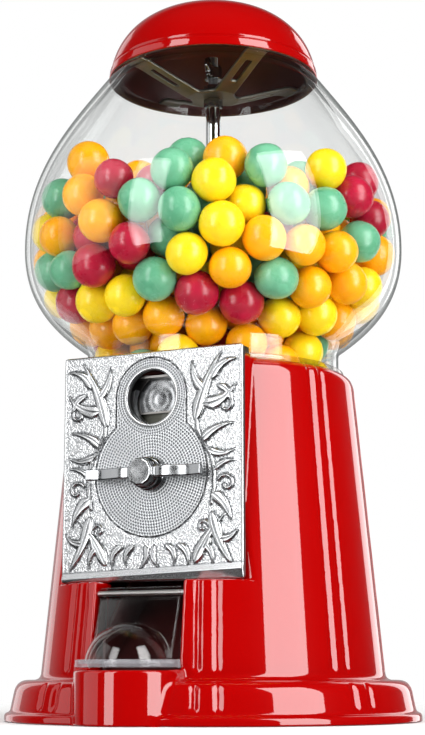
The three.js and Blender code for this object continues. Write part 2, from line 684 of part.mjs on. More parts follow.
// ---- Clear flap over the tray ----
function flap() {
  const half = 21.5;
  const sheet = 1.5;
  const foot = { y: TRAY.y, z: TRAY.top + 0.8 };
  const lean = Math.atan2(HINGE.y - foot.y, HINGE.z - foot.z);
  const bubble = 20.4;
  const bubbleY = TRAY.y - 2.5;
  const lipR = TRAY.r - 0.6;
  const along = Math.hypot(HINGE.y - foot.y, HINGE.z - foot.z);
  const panel = box([-half, half], [-sheet, 0], [-along + sheet / 2, 0]);
  const leaning = panel.rotate([-THREE.MathUtils.radToDeg(lean), 0, 0]).translate([0, HINGE.y, HINGE.z]);
  const front = box([-THROUGH, THROUGH], [-THROUGH, foot.y], [foot.z, THROUGH]);
  const aheadOfPanel = box([-THROUGH, THROUGH], [-THROUGH, -sheet / 2], [-THROUGH, THROUGH])
    .rotate([-THREE.MathUtils.radToDeg(lean), 0, 0])
    .translate([0, HINGE.y, HINGE.z]);
  const aboveFoot = box([-THROUGH, THROUGH], [-THROUGH, THROUGH], [foot.z, THROUGH]);
  const ball = (r) => solid(new THREE.SphereGeometry(r, 22, 12)).translate([0, bubbleY, foot.z]);
  const dome = ball(bubble).intersect(aheadOfPanel).intersect(aboveFoot);
  const plate = bar(lipR, foot.z, foot.z + sheet, 40, 0, foot.y).intersect(front);
  const web = cut(plate, bar(bubble - 2, 0, THROUGH, 40, 0, bubbleY));
  const lip = tube(lipR, lipR - sheet, foot.z, foot.z + 3.5, 40).translate([0, foot.y, 0]).intersect(front);
  const crossbar = box([-lipR, lipR], [foot.y - sheet, foot.y + sheet / 2], [foot.z, foot.z + 3.5]);
  const barrel = crossBar(HINGE.barrel, 2 * half, HINGE.y, HINGE.z, 18);
  const bore = crossBar(HINGE.bore, 60, HINGE.y, HINGE.z, 12);
  return cut(join(leaning, dome, web, lip, crossbar, barrel), ball(bubble - sheet), bore);
}

// ---- Assembly ----
put("body_shell", bodyShell(), RED);
put("base_plate", basePlate(), STEEL);
put("bank_plug", bankPlug(), BLACK);
put("base_nut", nutOnRod(8, BASE.z0 + 2.6, BASE.z0 + BASE.dome - GAP), STEEL);

put("globe", globe(), GLASS);
put("globe_seat_ring", seatRing(), CLEAR);
put("lid", lid(), RED);
put("gumballs", globeFill(), GUM);

put("centre_rod", bar(ROD.r, BASE.z0 + 1, ROD.top), ZINC);
put("rod_sleeve", tube(SLEEVE_R, ROD.r + GAP, WHEEL.hub + 0.9, HUB_Z - 5.3), CHROME);
put("sleeve_nut", nutOnRod(9, HUB_Z - 5, HUB_Z - GAP), CHROME);
put("globe_bracket", globeBracket(), STEEL);
put("bracket_nut", nutOnRod(10, HUB_Z + 2 + GAP, HUB_Z + 7), ZINC);
put("wing_nut", wingNut(), ZINC);

put("hopper_ring", hopperRing(), WHITE);
put("hopper_plate", hopperPlate(), ZINC);
[0, 90, 180].forEach((angle, i) => {
  const screw = put("hopper_screw_" + (i + 1), panScrew(3.6, 3.4), STEEL);
  const spot = new THREE.Vector3(70, 0, HOPPER_PLATE.armZ + HOPPER_PLATE.armThick + GAP);
  screw.position.copy(spot.applyAxisAngle(new THREE.Vector3(0, 0, 1), rad(angle)));
});
put("candy_wheel", candyWheel(), WHITE);
put("wheel_bush", tube(SLEEVE_R + 0.2, ROD.r + GAP, PLATE_TOP - 7.3, WHEEL.hub + 0.6), BRASS);
put("wheel_nut", nutOnRod(10, PLATE_TOP - 12, PLATE_TOP - 7.6), ZINC);
put("ball_shield", ballShield(), STEEL);
put("ball_chute", ballChute(), WHITE);

put("front_plate", frontPlate(), CHROME, mechanism);
put("backing_sheet", backingSheet(), STEEL, mechanism);
put("mech_pan", mechPan(), STEEL, mechanism);
put("coin_wheel", coinWheel(), ZINC, mechanism);
put("shaft_bushing", bushing(), ZINC, mechanism);
put("handle_shaft", handleShaft(), STEEL, mechanism);
put("shaft_clip", shaftClip(), STEEL, mechanism);
put("handle", handle(), CHROME, mechanism);
put("drive_pinion", drivePinion(), ZINC, mechanism);
put("ratchet_wheel", ratchetWheel(), ZINC, mechanism);
put("pawl", pawl(), STEEL, mechanism);
put("pawl_pin", pawlPin(), STEEL, mechanism);
put("pawl_spring", pawlSpring(), STEEL, mechanism);

put("flap", flap(), CLEAR);
put("flap_pin", crossBar(HINGE.pin, 52, HINGE.y, HINGE.z), CHROME);

export default machine;
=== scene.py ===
"""Looks of the gumball machine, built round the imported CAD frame.

Shapes are worked out in millimetres from the machine's upright axis, as in part.mjs, with the front
towards -Y. Function to_frame() moves them into the frame, in metres.
"""

import math

import bmesh
import bpy
import numpy as np
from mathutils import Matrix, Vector


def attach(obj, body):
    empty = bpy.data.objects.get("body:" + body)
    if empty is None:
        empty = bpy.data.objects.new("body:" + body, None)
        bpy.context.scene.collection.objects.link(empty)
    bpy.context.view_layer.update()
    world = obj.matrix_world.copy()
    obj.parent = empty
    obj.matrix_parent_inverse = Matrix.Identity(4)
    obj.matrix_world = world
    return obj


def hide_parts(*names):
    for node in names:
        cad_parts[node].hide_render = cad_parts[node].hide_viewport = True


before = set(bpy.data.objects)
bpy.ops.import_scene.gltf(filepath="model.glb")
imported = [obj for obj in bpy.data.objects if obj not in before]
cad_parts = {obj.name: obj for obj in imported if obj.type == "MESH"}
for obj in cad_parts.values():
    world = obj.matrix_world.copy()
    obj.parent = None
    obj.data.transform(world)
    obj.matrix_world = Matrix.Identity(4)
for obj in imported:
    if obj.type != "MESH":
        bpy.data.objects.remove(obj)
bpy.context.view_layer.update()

# ---- Driving dimensions, mm ----
AXIS_Y = 4.15
FLANGE_R, FLANGE_H = 105.7, 4.4
PLINTH_R, PLINTH_H = (103.0, 99.8), 20.3
BODY_R, BODY_H = (87.9, 73.3), 175.4
WALL = 3.4
FLUTE_ANGLES = (21.05, 27.35, 66.75, 73.05)  # degrees from the front; each stands four times, mirrored
FLUTE_DEEP, FLUTE_SLOPE = 1.35, 0.48
TRAY_R, TRAY_Y, TRAY_TOP, TRAY_FLOOR, TRAY_WALL = 26.5, -87.5, 25.5, 5.0, 2.4
CHUTE_HALF = 23.5
HINGE_Y, HINGE_Z = -77.0, 61.0
PLATE_HALF, PLATE_LOW, PLATE_HIGH, PLATE_BACK, PLATE_FRONT = 49.4, 66.9, 179.3, -66.3, -69.3
BOX_HALF, BOX_FRONT = 48.0, -64.7
SHAFT_Z = 118.6
COIN_Z, COIN_R = 156.7, 13.3
SEAT_BORE, SEAT_FLOOR, SEAT_THICK, SEAT_INNER = 67.2, 171.3, 3.0, 61.0
GLOBE_GLASS = 2.6
BALL_R = 11.0
HUB_Z = 331.3
MOUTH_R, MOUTH_Z, COLLAR_R, MOUTH_TOP = 55.8, 340.3, 52.5, 343.2


def to_frame(points):
    return (np.asarray(points, float) + (0, AXIS_Y, 0)) * 0.001


# ---- Mesh making ----
def new_mesh(name, points, faces):
    """A mesh object from arrays: faces all have the same number of corners."""
    faces = np.asarray(faces, np.int32)
    mesh = bpy.data.meshes.new(name)
    mesh.vertices.add(len(points))
    mesh.vertices.foreach_set("co", to_frame(points).ravel())
    mesh.loops.add(faces.size)
    mesh.loops.foreach_set("vertex_index", faces.ravel())
    mesh.polygons.add(len(faces))
    mesh.polygons.foreach_set("loop_start", np.arange(0, faces.size, faces.shape[1], dtype=np.int32))
    mesh.update(calc_edges=True)
    mesh.validate()
    obj = bpy.data.objects.new(name, mesh)
    bpy.context.scene.collection.objects.link(obj)
    return obj


def smooth(obj, angle=32):
    obj.data.shade_smooth()
    obj.data.set_sharp_from_angle(angle=math.radians(angle))


def use(obj, material, body="base", replaces=()):
    obj.data.materials.clear()
    obj.data.materials.append(material)
    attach(obj, body)
    if replaces:
        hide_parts(*replaces)
    return obj


def rounded(outline, radius, steps=4, closed=True):
    """The outline with its corners turned into arcs."""
    count = len(outline)
    out = []
    for i, corner in enumerate(outline):
        if not closed and i in (0, count - 1):
            out.append(corner)
            continue
        c = np.array(corner, float)
        a = np.array(outline[i - 1], float) - c
        b = np.array(outline[(i + 1) % count], float) - c
        la, lb = np.linalg.norm(a), np.linalg.norm(b)
        reach = min(radius, la * 0.45, lb * 0.45)
        p, q = c + a / la * reach, c + b / lb * reach
        for t in np.linspace(0, 1, steps + 1):
            out.append(tuple((1 - t) ** 2 * p + 2 * t * (1 - t) * c + t * t * q))
    return out


def lathe(name, outline, segments=144, closed=True):
    """A turned piece. The outline is [radius, height] points, closed or between two points on the axis."""
    ring = np.array(outline, float)
    turn = np.linspace(0, 2 * math.pi, segments, endpoint=False)
    x = ring[:, None, 0] * np.cos(turn)
    y = ring[:, None, 0] * np.sin(turn)
    z = np.repeat(ring[:, 1:2], segments, axis=1)
    points = np.stack([x, y, z], -1).reshape(-1, 3)
    rows = np.arange(len(ring) if closed else len(ring) - 1)
    cols = np.arange(segments)
    i, j = np.meshgrid(rows, cols, indexing="ij")
    i1, j1 = (i + 1) % len(ring), (j + 1) % segments
    quads = np.stack([i * segments + j, i1 * segments + j, i1 * segments + j1, i * segments + j1], -1)
    obj = new_mesh(name, points, quads.reshape(-1, 4))
    tidy(obj)
    return obj


def tidy(obj):
    """Joins doubled points and turns all faces outwards."""
    bm = bmesh.new()
    bm.from_mesh(obj.data)
    bmesh.ops.remove_doubles(bm, verts=bm.verts, dist=2e-6)
    bmesh.ops.recalc_face_normals(bm, faces=bm.faces)
    bm.to_mesh(obj.data)
    bm.free()


def bezier(p0, p1, p2, p3, steps):
    t = np.linspace(0, 1, steps + 1)[1:, None]
    p0, p1, p2, p3 = (np.array(p, float) for p in (p0, p1, p2, p3))
    return (1 - t) ** 3 * p0 + 3 * t * (1 - t) ** 2 * p1 + 3 * t * t * (1 - t) * p2 + t**3 * p3


# ---- Surfaces of distance fields: fields are negative inside, and k rounds a join or a corner ----
def either(a, b, k=0.0):
    if k == 0:
        return np.minimum(a, b)
    h = np.clip(0.5 + 0.5 * (b - a) / k, 0, 1)
    return b * (1 - h) + a * h - k * h * (1 - h)


def both(a, b, k=0.0):
    return -either(-a, -b, k)


def minus(a, b, k=0.0):
    return both(a, -b, k)


def slab(v, low, high):
    return np.abs(v - (low + high) / 2) - (high - low) / 2


def block(x, y, z, xs, ys, zs, k=0.0):
    return both(both(slab(x, *xs), slab(y, *ys), k), slab(z, *zs), k)


def surface(name, field, low, high, step):
    """A quad mesh on the field's zero surface, with normals from the field's slope."""
    axes = [np.arange(a - 1.5 * step, b + 2.5 * step, step) for a, b in zip(low, high)]
    values = field(*np.meshgrid(*axes, indexing="ij", sparse=True))
    inside = values < 0
    shape = np.array(inside.shape) - 1
    corners = [(i, j, k) for i in (0, 1) for j in (0, 1) for k in (0, 1)]

    def at(grid, c):
        return grid[c[0] : c[0] + shape[0], c[1] : c[1] + shape[1], c[2] : c[2] + shape[2]]

    count = sum(at(inside, c).astype(np.uint8) for c in corners)
    mixed = (count > 0) & (count < 8)
    index = np.full(shape, -1, np.int32)
    index[mixed] = np.arange(mixed.sum())
    cells = np.argwhere(mixed)
    corner_values = {c: at(values, c)[mixed] for c in corners}
    total, hits = np.zeros((len(cells), 3)), np.zeros(len(cells))
    for c in corners:
        for axis in range(3):
            if c[axis]:
                continue
            d = tuple(1 if n == axis else v for n, v in enumerate(c))
            va, vb = corner_values[c], corner_values[d]
            crossing = (va < 0) != (vb < 0)
            t = np.where(crossing, va / np.where(crossing, va - vb, 1), 0)
            spot = np.tile(np.array(c, float), (len(cells), 1))
            spot[:, axis] = t
            total += spot * crossing[:, None]
            hits += crossing
    origin = np.array([a[0] for a in axes])
    points = (cells + total / hits[:, None]) * step + origin

    def slope(p, h=0.04):
        g = np.empty_like(p)
        for axis in range(3):
            q = p.copy()
            q[:, axis] += h
            up = field(*q.T)
            q[:, axis] -= 2 * h
            g[:, axis] = (up - field(*q.T)) / (2 * h)
        return g

    for _ in range(2):
        g = slope(points)
        move = -field(*points.T)[:, None] * g / np.maximum((g * g).sum(1), 0.05)[:, None]
        length = np.linalg.norm(move, axis=1, keepdims=True)
        points += move * np.minimum(1, 0.45 * step / np.maximum(length, 1e-9))
    faces = []
    for axis in range(3):
        b, c = (axis + 1) % 3, (axis + 2) % 3
        lower = np.take(inside, range(inside.shape[axis] - 1), axis)
        upper = np.take(inside, range(1, inside.shape[axis]), axis)
        edges = np.argwhere(lower != upper)
        outward = lower[tuple(edges.T)]

        def cell(back_b, back_c):
            q = edges.copy()
            q[:, b] -= back_b
            q[:, c] -= back_c
            return index[tuple(q.T)]

        quad = np.stack([cell(1, 1), cell(0, 1), cell(0, 0), cell(1, 0)], 1)
        quad[~outward] = quad[~outward][:, ::-1]
        faces.append(quad)
    obj = new_mesh(name, points, np.concatenate(faces))
    obj.data.shade_smooth()
    normals = slope(points, 0.12 + 0.15 * (step > 0.8))
    normals /= np.maximum(np.linalg.norm(normals, axis=1, keepdims=True), 1e-9)
    if len(obj.data.vertices) == len(normals):
        obj.data.normals_split_custom_set_from_vertices(normals.tolist())
    return obj


# ---- Materials ----
class Nodes:
    """A material under construction, with short ways to add its nodes."""

    def __init__(self, name):
        self.material = bpy.data.materials.new(name)
        self.material.use_nodes = True
        self.tree = self.material.node_tree
        self.tree.nodes.clear()
        self.out = self.tree.nodes.new("ShaderNodeOutputMaterial")
        self.coords = self.tree.nodes.new("ShaderNodeTexCoord").outputs["Object"]

    def add(self, kind, inputs=(), **settings):
        node = self.tree.nodes.new(kind)
        for key, value in settings.items():
            setattr(node, key, value)
        for key, value in dict(inputs).items():
            if isinstance(value, bpy.types.NodeSocket):
                self.tree.links.new(value, node.inputs[key])
            else:
                node.inputs[key].default_value = value
        return node

    def noise(self, scale, detail=3.0, roughness=0.55, vector=None):
        inputs = {"Vector": vector or self.coords, "Scale": scale, "Detail": detail, "Roughness": roughness}
        return self.add("ShaderNodeTexNoise", inputs).outputs["Fac"]

    def ramp(self, value, stops):
        node = self.add("ShaderNodeValToRGB", {"Fac": value})
        elements = node.color_ramp.elements
        while len(elements) < len(stops):
            elements.new(0.5)
        for element, (place, color) in zip(elements, stops):
            element.position = place
            element.color = (*color, 1) if isinstance(color, tuple) else (color, color, color, 1)
        return node.outputs["Color"]

    def bump(self, height, strength, distance, normal=None):
        inputs = {"Height": height, "Strength": strength, "Distance": distance}
        if normal:
            inputs["Normal"] = normal
        return self.add("ShaderNodeBump", inputs).outputs["Normal"]

    def principled(self, **inputs):
        named = {key.replace("_", " "): value for key, value in inputs.items()}
        shader = self.add("ShaderNodeBsdfPrincipled", named)
        self.tree.links.new(shader.outputs["BSDF"], self.out.inputs["Surface"])
        return self.material


def enamel():
    """Glossy red paint with a faint orange peel. Deep inside the casting's openings it carries painted
    shade: the colour goes near-black and the gloss coat goes away.
    """
    n = Nodes("red_enamel")
    depth_shade = n.add("ShaderNodeAttribute", attribute_name="depth_shade").outputs["Fac"]
    paint = n.ramp(n.noise(9), [(0.3, (0.27, 0.0, 0.0)), (0.7, (0.30, 0.0, 0.0))])
    # Near-black colour for the painted shade deep inside the openings.
    shade_tone = n.ramp(n.noise(70), [(0.3, (0.008, 0.002, 0.002)), (0.7, (0.016, 0.004, 0.003))])
    mixed = n.add("ShaderNodeMix", {"Factor": depth_shade, "A": paint, "B": shade_tone}, data_type="RGBA")
    color = mixed.outputs["Result"]
    rough = n.ramp(n.noise(60), [(0.3, 0.3), (0.7, 0.38)])
    coat = n.add("ShaderNodeMath", {0: 1.0, 1: depth_shade}, operation="SUBTRACT").outputs["Value"]
    peel = n.bump(n.noise(260, 1), 0.025, 0.0003)
    return n.principled(
        Base_Color=color, Roughness=rough, Normal=peel, Coat_Weight=coat, Coat_Roughness=0.03,
        Coat_IOR=1.6, Specular_IOR_Level=0.015,
    )


def metal(name, low, high, rough, grain=220.0, bump=0.08, stretch=(1, 1, 1)):
    """Bare metal with a fine grain, stretched where it was brushed or drawn."""
    n = Nodes(name)
    vector = n.add("ShaderNodeMapping", {"Vector": n.coords, "Scale": stretch}).outputs["Vector"]
    fine = n.noise(grain, 4, 0.6, vector)
    color = n.ramp(n.noise(40), [(0.3, low), (0.7, high)])
    return n.principled(
        Base_Color=color,
        Metallic=1.0,
        Roughness=n.ramp(fine, [(0.3, rough[0]), (0.7, rough[1])]),
        Normal=n.bump(fine, bump, 0.0002),
    )


def relief_metal():
    """Cast and polished plate. One attribute holds painted shade for the hollows of the relief, and 'ground'
    tells where the casting has a fine worm-like texture, whose troughs get painted shade as well."""
    n = Nodes("cast_relief")
    recess_shade = n.add("ShaderNodeAttribute", attribute_name="recess_shade").outputs["Fac"]
    ground = n.add("ShaderNodeAttribute", attribute_name="ground").outputs["Fac"]
    swirl = n.add("ShaderNodeMath", {0: n.noise(300, 1.5), 1: 44.0}, operation="MULTIPLY").outputs["Value"]
    worms = n.add("ShaderNodeMath", {0: swirl}, operation="SINE").outputs["Value"]
    relief = n.add("ShaderNodeMath", {0: worms, 1: ground}, operation="MULTIPLY").outputs["Value"]
    # Painted shade in the troughs of the worm texture.
    dip = n.add("ShaderNodeMath", {0: relief, 1: -0.30}, operation="MULTIPLY").outputs["Value"]
    low = n.add("ShaderNodeMath", {0: dip, 1: recess_shade}, operation="ADD", use_clamp=True).outputs["Value"]
    color = n.ramp(low, [(0.0, (0.58, 0.59, 0.60)), (0.35, (0.32, 0.33, 0.34)), (1.0, (0.025, 0.025, 0.03))])
    rough = n.ramp(low, [(0.0, 0.27), (0.5, 0.4), (1.0, 0.6)])
    grain = n.bump(n.noise(700, 2), 0.05, 0.0001)
    normal = n.bump(relief, 0.6, 0.00007, grain)
    return n.principled(Base_Color=color, Metallic=1.0, Roughness=rough, Normal=normal)


def plastic(name, low, high, rough=0.45, bump=0.1):
    n = Nodes(name)
    color = n.ramp(n.noise(30), [(0.3, low), (0.7, high)])
    return n.principled(
        Base_Color=color,
        Roughness=n.ramp(n.noise(150), [(0.3, rough - 0.06), (0.7, rough + 0.06)]),
        Normal=n.bump(n.noise(600, 2), bump, 0.0002),
    )


def candy(name, low, high):
    """A hard candy shell: soft mottling, faint dimples, and a wax polish that comes and goes."""
    n = Nodes(name)
    color = n.ramp(n.noise(75, 4, 0.6), [(0.32, low), (0.66, high)])
    rough = n.ramp(n.noise(110), [(0.3, 0.22), (0.7, 0.36)])
    return n.principled(
        Base_Color=color, Roughness=rough, Normal=n.bump(n.noise(260, 3), 0.12, 0.0005), Coat_Weight=0.25,
        Coat_Roughness=0.12, Subsurface_Weight=0.06, Subsurface_Radius=(0.003, 0.002, 0.0015),
    )


def clear(name, tint, edge, rough=0.02, ior=1.5, waves=0.02):
    """Thin clear wall: light passes straight through, greyer where the wall is seen edge on."""
    n = Nodes(name)
    ripple = n.bump(n.noise(14, 1), waves, 0.002)
    facing = n.add("ShaderNodeLayerWeight", {"Blend": 0.5, "Normal": ripple}).outputs["Facing"]
    color = n.ramp(facing, [(0.0, tint), (0.78, tint), (1.0, edge)])
    through = n.add("ShaderNodeBsdfTransparent", {"Color": color}).outputs["BSDF"]
    gloss_rough = n.ramp(n.noise(50), [(0.3, rough), (0.7, rough * 1.6)])
    gloss = n.add("ShaderNodeBsdfGlossy", {"Roughness": gloss_rough, "Normal": ripple}).outputs["BSDF"]
    steep = n.add("ShaderNodeMath", {0: facing, 1: 5.0}, operation="POWER").outputs["Value"]
    direct = ((ior - 1) / (ior + 1)) ** 2
    grazing = n.add("ShaderNodeMath", {0: steep, 1: 1 - direct, 2: direct}, operation="MULTIPLY_ADD")
    share = grazing.outputs["Value"]
    mix = n.add("ShaderNodeMixShader", {"Fac": share, 1: through, 2: gloss})
    n.tree.links.new(mix.outputs["Shader"], n.out.inputs["Surface"])
    return n.material


def frosted():
    """Thick clear plastic seen along its sheet, where it looks grey and half solid."""
    n = Nodes("plastic_edge")
    shade = n.ramp(n.noise(90), [(0.3, (0.30, 0.30, 0.32)), (0.7, (0.42, 0.42, 0.45))])
    rough = n.ramp(n.noise(120), [(0.3, 0.08), (0.7, 0.14)])
    return n.principled(Base_Color=shade, Roughness=rough, Alpha=0.34)


RED = enamel()
CHROME = metal("chrome", (0.72, 0.74, 0.76), (0.82, 0.84, 0.85), (0.05, 0.11), 300, 0.02)
NICKEL = metal("worn_nickel", (0.34, 0.35, 0.36), (0.48, 0.49, 0.50), (0.13, 0.25), 160, 0.12)
SATIN = metal("satin_steel", (0.62, 0.63, 0.64), (0.74, 0.75, 0.76), (0.3, 0.4), 200, 0.08)
BRACKET = metal("dull_steel", (0.16, 0.16, 0.135), (0.25, 0.245, 0.215), (0.35, 0.5), 120, 0.15)
ZINC = metal("cast_zinc", (0.34, 0.35, 0.36), (0.48, 0.49, 0.50), (0.28, 0.42), 120, 0.2)
STEEL = metal("brushed_steel", (0.20, 0.19, 0.18), (0.32, 0.31, 0.30), (0.28, 0.42), 200, 0.12, (1, 1, 12))
BRASS = metal("turned_brass", (0.50, 0.33, 0.12), (0.62, 0.43, 0.18), (0.2, 0.32), 200, 0.1)
RELIEF = relief_metal()
MAROON = plastic("lid_inside", (0.05, 0.006, 0.006), (0.075, 0.010, 0.010), 0.5, 0.1)
CHUTE = plastic("dark_chute", (0.030, 0.002, 0.002), (0.048, 0.003, 0.003), 0.45, 0.1)
WHITE = plastic("white_plastic", (0.62, 0.60, 0.55), (0.72, 0.70, 0.65))
OLIVE = plastic("olive_plastic", (0.055, 0.055, 0.04), (0.08, 0.08, 0.06), 0.4, 0.1)
DARK = plastic("dark_rubber", (0.015, 0.015, 0.016), (0.03, 0.03, 0.03), 0.6, 0.2)
GLASS = clear("globe_glass", (0.985, 0.99, 0.988), (0.34, 0.40, 0.37))
FLAP_CLEAR = clear("clear_plastic", (0.90, 0.89, 0.88), (0.50, 0.50, 0.52), 0.05, 1.6, 0.05)
LIP = frosted()


# ---- Body ----
def slope_radius(z, radii, low, high):
    return radii[0] + (radii[1] - radii[0]) * (z - low) / (high - low)


def body_radius(z):
    return slope_radius(z, BODY_R, PLINTH_H, BODY_H)


def plinth_radius(z):
    return slope_radius(z, PLINTH_R, FLANGE_H, PLINTH_H)


def fluted(x, y, z, radius_at, low, high):
    """Distance to the side of a cone with narrow upright grooves that end between heights low and high."""
    r = np.hypot(x, y)
    angle = np.degrees(np.arctan2(np.abs(x), np.abs(y)))
    nearest = np.min([np.abs(angle - middle) for middle in FLUTE_ANGLES], axis=0)
    side = np.radians(nearest) * radius_at(z)
    past = np.maximum(np.maximum(low - z, z - high), 0)
    groove = FLUTE_DEEP - FLUTE_SLOPE * np.sqrt(side**2 + past**2 + 0.2)
    groove = 0.5 * (groove + np.sqrt(groove**2 + 0.03))
    return r - radius_at(z) + groove


def body_outside(x, y, z):
    r = np.hypot(x, y)
    cone = both(fluted(x, y, z, body_radius, PLINTH_H + 6, BODY_H + 3), z - BODY_H, 7)
    plinth = both(fluted(x, y, z, plinth_radius, FLANGE_H + 4, PLINTH_H - 3.5), z - PLINTH_H, 6)
    behind_plate = both(y - BOX_FRONT, PLATE_LOW - z)
    cone = minus(cone, behind_plate, 1.2)
    housing = block(x, y, z, (-BOX_HALF, BOX_HALF), (BOX_FRONT, -45), (PLATE_LOW - 4, BODY_H), 1.5)
    tray = both(np.hypot(x, y - TRAY_Y) - TRAY_R, z - TRAY_TOP, 2.2)
    tray = both(tray, -z, 0.8)
    flange = both(both(r - FLANGE_R, z - FLANGE_H, 2.4), -z, 0.8)
    base = either(either(cone, plinth, 3.5), flange, 1.5)
    return either(either(both(base, -z), housing, 0.8), tray, 2.0)


def body_inside(x, y, z):
    r = np.hypot(x, y)
    foot = both(r - 101.5, z - 3)
    plinth = both(r - (plinth_radius(z) - 6), z - (PLINTH_H - WALL))
    cone = both(r - (body_radius(z) - WALL), z - (SEAT_FLOOR - SEAT_THICK))
    hollow = either(either(foot, plinth), cone)
    ledge = block(x, y, z, (-60, 60), (-100, -64), (PLATE_LOW - WALL, PLATE_LOW))
    half = CHUTE_HALF + TRAY_WALL
    walls = block(x, y, z, (-half, half), (-104, -68), (3, PLATE_LOW))
    inner = BOX_HALF - 1.5
    heights = (PLATE_LOW + WALL, SEAT_FLOOR - SEAT_THICK)
    housing = block(x, y, z, (-inner, inner), (BOX_FRONT - 9, -54), heights)
    return either(minus(minus(hollow, ledge), walls), housing)


def tray_pocket(x, y, z):
    bowl = both(both(np.hypot(x, y - TRAY_Y) - (TRAY_R - TRAY_WALL), TRAY_FLOOR - z, 4), z - (TRAY_TOP + 1))
    behind = block(x, y, z, (-CHUTE_HALF, CHUTE_HALF), (TRAY_Y, -60), (TRAY_FLOOR, PLATE_LOW + 1))
    above = block(x, y, z, (-CHUTE_HALF, CHUTE_HALF), (-400, -60), (TRAY_TOP, PLATE_LOW + 1))
    return either(bowl, either(behind, above), 1.0)


def body_field(x, y, z):
    r = np.hypot(x, y)
    body = minus(body_outside(x, y, z), body_inside(x, y, z), 0.6)
    lugs = block(np.abs(x), y, z, (64, 78), (-7, 7), (110.4, 116.4))
    widths = (CHUTE_HALF, CHUTE_HALF + 4.5)
    cheeks = block(np.abs(x), y, z, widths, (HINGE_Y - 1.8, HINGE_Y + 5), (56, PLATE_LOW - 1))
    body = either(either(body, lugs), cheeks, 1)
    body = minus(body, both(r - SEAT_BORE, SEAT_FLOOR - z), 0.8)
    body = minus(body, both(r - SEAT_INNER, SEAT_FLOOR - 40 - z), 0.8)
    body = minus(body, block(x, y, z, (-18.5, 18.5), (-72, -60), (SEAT_FLOOR, 400)), 0.5)
    return minus(body, tray_pocket(x, y, z), 1.6)


def mark(mesh, name, values):
    """Stores one number per vertex for a material to read."""
    layer = mesh.attributes.new(name, "FLOAT", "POINT")
    layer.data.foreach_set("value", np.asarray(values, np.float32))


def machine_points(mesh):
    co = np.empty(len(mesh.vertices) * 3)
    mesh.vertices.foreach_get("co", co)
    return co.reshape(-1, 3) * 1000 - (0, AXIS_Y, 0)


def make_body():
    step = 0.9
    body = surface("body_look", body_field, (-107, -116, 0), (107, 107, 177), step)
    x, y, z = machine_points(body.data).T
    # Painted shade: the deeper a surface lies inside the openings, the darker the enamel is made, and
    # everything hidden behind the plate is dark too.
    depth = -body_outside(x, y, z)
    hidden = (y < BOX_FRONT + 3) & (np.abs(x) < BOX_HALF - 2) & (z > PLATE_LOW + 4) & (z < BODY_H - 3)
    mark(body.data, "depth_shade", np.maximum(step_up(depth, 1.5, 6) * step_up(z, 25, 34), hidden))
    use(body, RED, replaces=["body_shell"])


# ---- Front plate ----
def step_up(v, low, high):
    t = np.clip((v - low) / (high - low), 0, 1)
    return t * t * (3 - 2 * t)


def blade(x, z, root, tip, width, bend=0.0):
    """How far inside a raised leaf blade each spot lies, mm, and how far it is from the midrib."""
    ax, az = root
    run = np.array(tip, float) - root
    length = np.linalg.norm(run)
    t = ((x - ax) * run[0] + (z - az) * run[1]) / length**2
    side = ((z - az) * run[0] - (x - ax) * run[1]) / length
    inner = np.clip(t, 0, 1)
    side = side - bend * length * 4 * inner * (1 - inner)
    half = width * np.clip(inner * 5, 0, 1) ** 0.5 * (1 - inner) ** 0.7
    beyond = length * np.maximum(np.maximum(-t, t - 1), 0)
    return half - np.abs(side) - beyond, np.abs(side)


def vine(x, z, points, width):
    """How far inside a raised stem each spot lies, mm. The stem runs through the points."""
    best = np.full(x.shape, 1e9)
    ends = [np.array(p, float) for p in points]
    for a, b in zip(ends, ends[1:]):
        ab = b - a
        t = np.clip(((x - a[0]) * ab[0] + (z - a[1]) * ab[1]) / ab.dot(ab), 0, 1)
        best = np.minimum(best, np.hypot(x - a[0] - t * ab[0], z - a[1] - t * ab[1]))
    return width - best


def scroll(cx, cz, radius, start, turns, steps=18):
    """Points of a curling tendril that winds in towards its centre."""
    t = np.linspace(0, 1, steps)
    a = math.radians(start) + 2 * math.pi * turns * t
    r = radius * (1 - 0.7 * t)
    return list(zip(cx + r * np.cos(a), cz + r * np.sin(a)))


# Blades are root, tip, half width and bend; each is also mirrored to the other side.
BLADES = [
    ((24.5, 143), (38.5, 176), 4.0, 0.05), ((28, 151), (46.5, 160), 4.2, -0.14),
    ((30, 157), (22.5, 173), 3.2, 0.12), ((33, 163), (47, 172), 3.3, 0.16),
    ((36, 160), (44, 148), 2.6, 0.2), ((27.5, 133), (45, 141), 3.0, 0.10),
    ((31, 129), (46, 128.5), 2.6, -0.14), ((34.5, 119), (46, 123), 2.2, 0.12),
    ((33, 108), (43.5, 94), 3.8, 0.12), ((24, 75), (40.5, 98), 3.7, 0.05),
    ((33, 99), (45, 72.5), 4.0, -0.06), ((32, 89), (22, 79), 2.8, 0.2),
    ((37, 86), (47.3, 91), 2.7, -0.16), ((29, 84), (33.5, 73.5), 2.4, 0.16),
    ((15, 84.5), (20.5, 73), 2.6, 0.2), ((2.2, 84), (5.5, 73), 2.3, -0.18),
    ((8.5, 84.5), (13, 74), 2.4, 0.2),
]
VINES = [
    [(25, 145), (25.6, 139), (28, 133), (32.5, 127), (34.6, 119), (34.4, 110), (33, 103)],
    scroll(40.5, 150, 4.4, 100, -0.8),
    scroll(41, 112, 4.6, 150, -0.85),
    scroll(28.5, 92, 3.2, 20, 0.7),
]


def ornament(x, z):
    """Vines and leaves in the four corners, at the sides and under the disc."""
    ax = np.abs(x)
    inside = np.full(x.shape, -9.0)
    groove = np.zeros(x.shape)
    for root, tip, width, bend in BLADES:
        depth, side = blade(ax, z, root, tip, width, bend)
        groove = np.where(depth > inside, np.exp(-((side / 0.34) ** 2)), groove)
        inside = np.maximum(inside, depth)
    for points in VINES:
        depth = vine(ax, z, points, 0.95)
        groove = np.where(depth > inside, 0, groove)
        inside = np.maximum(inside, depth)
    return inside, groove


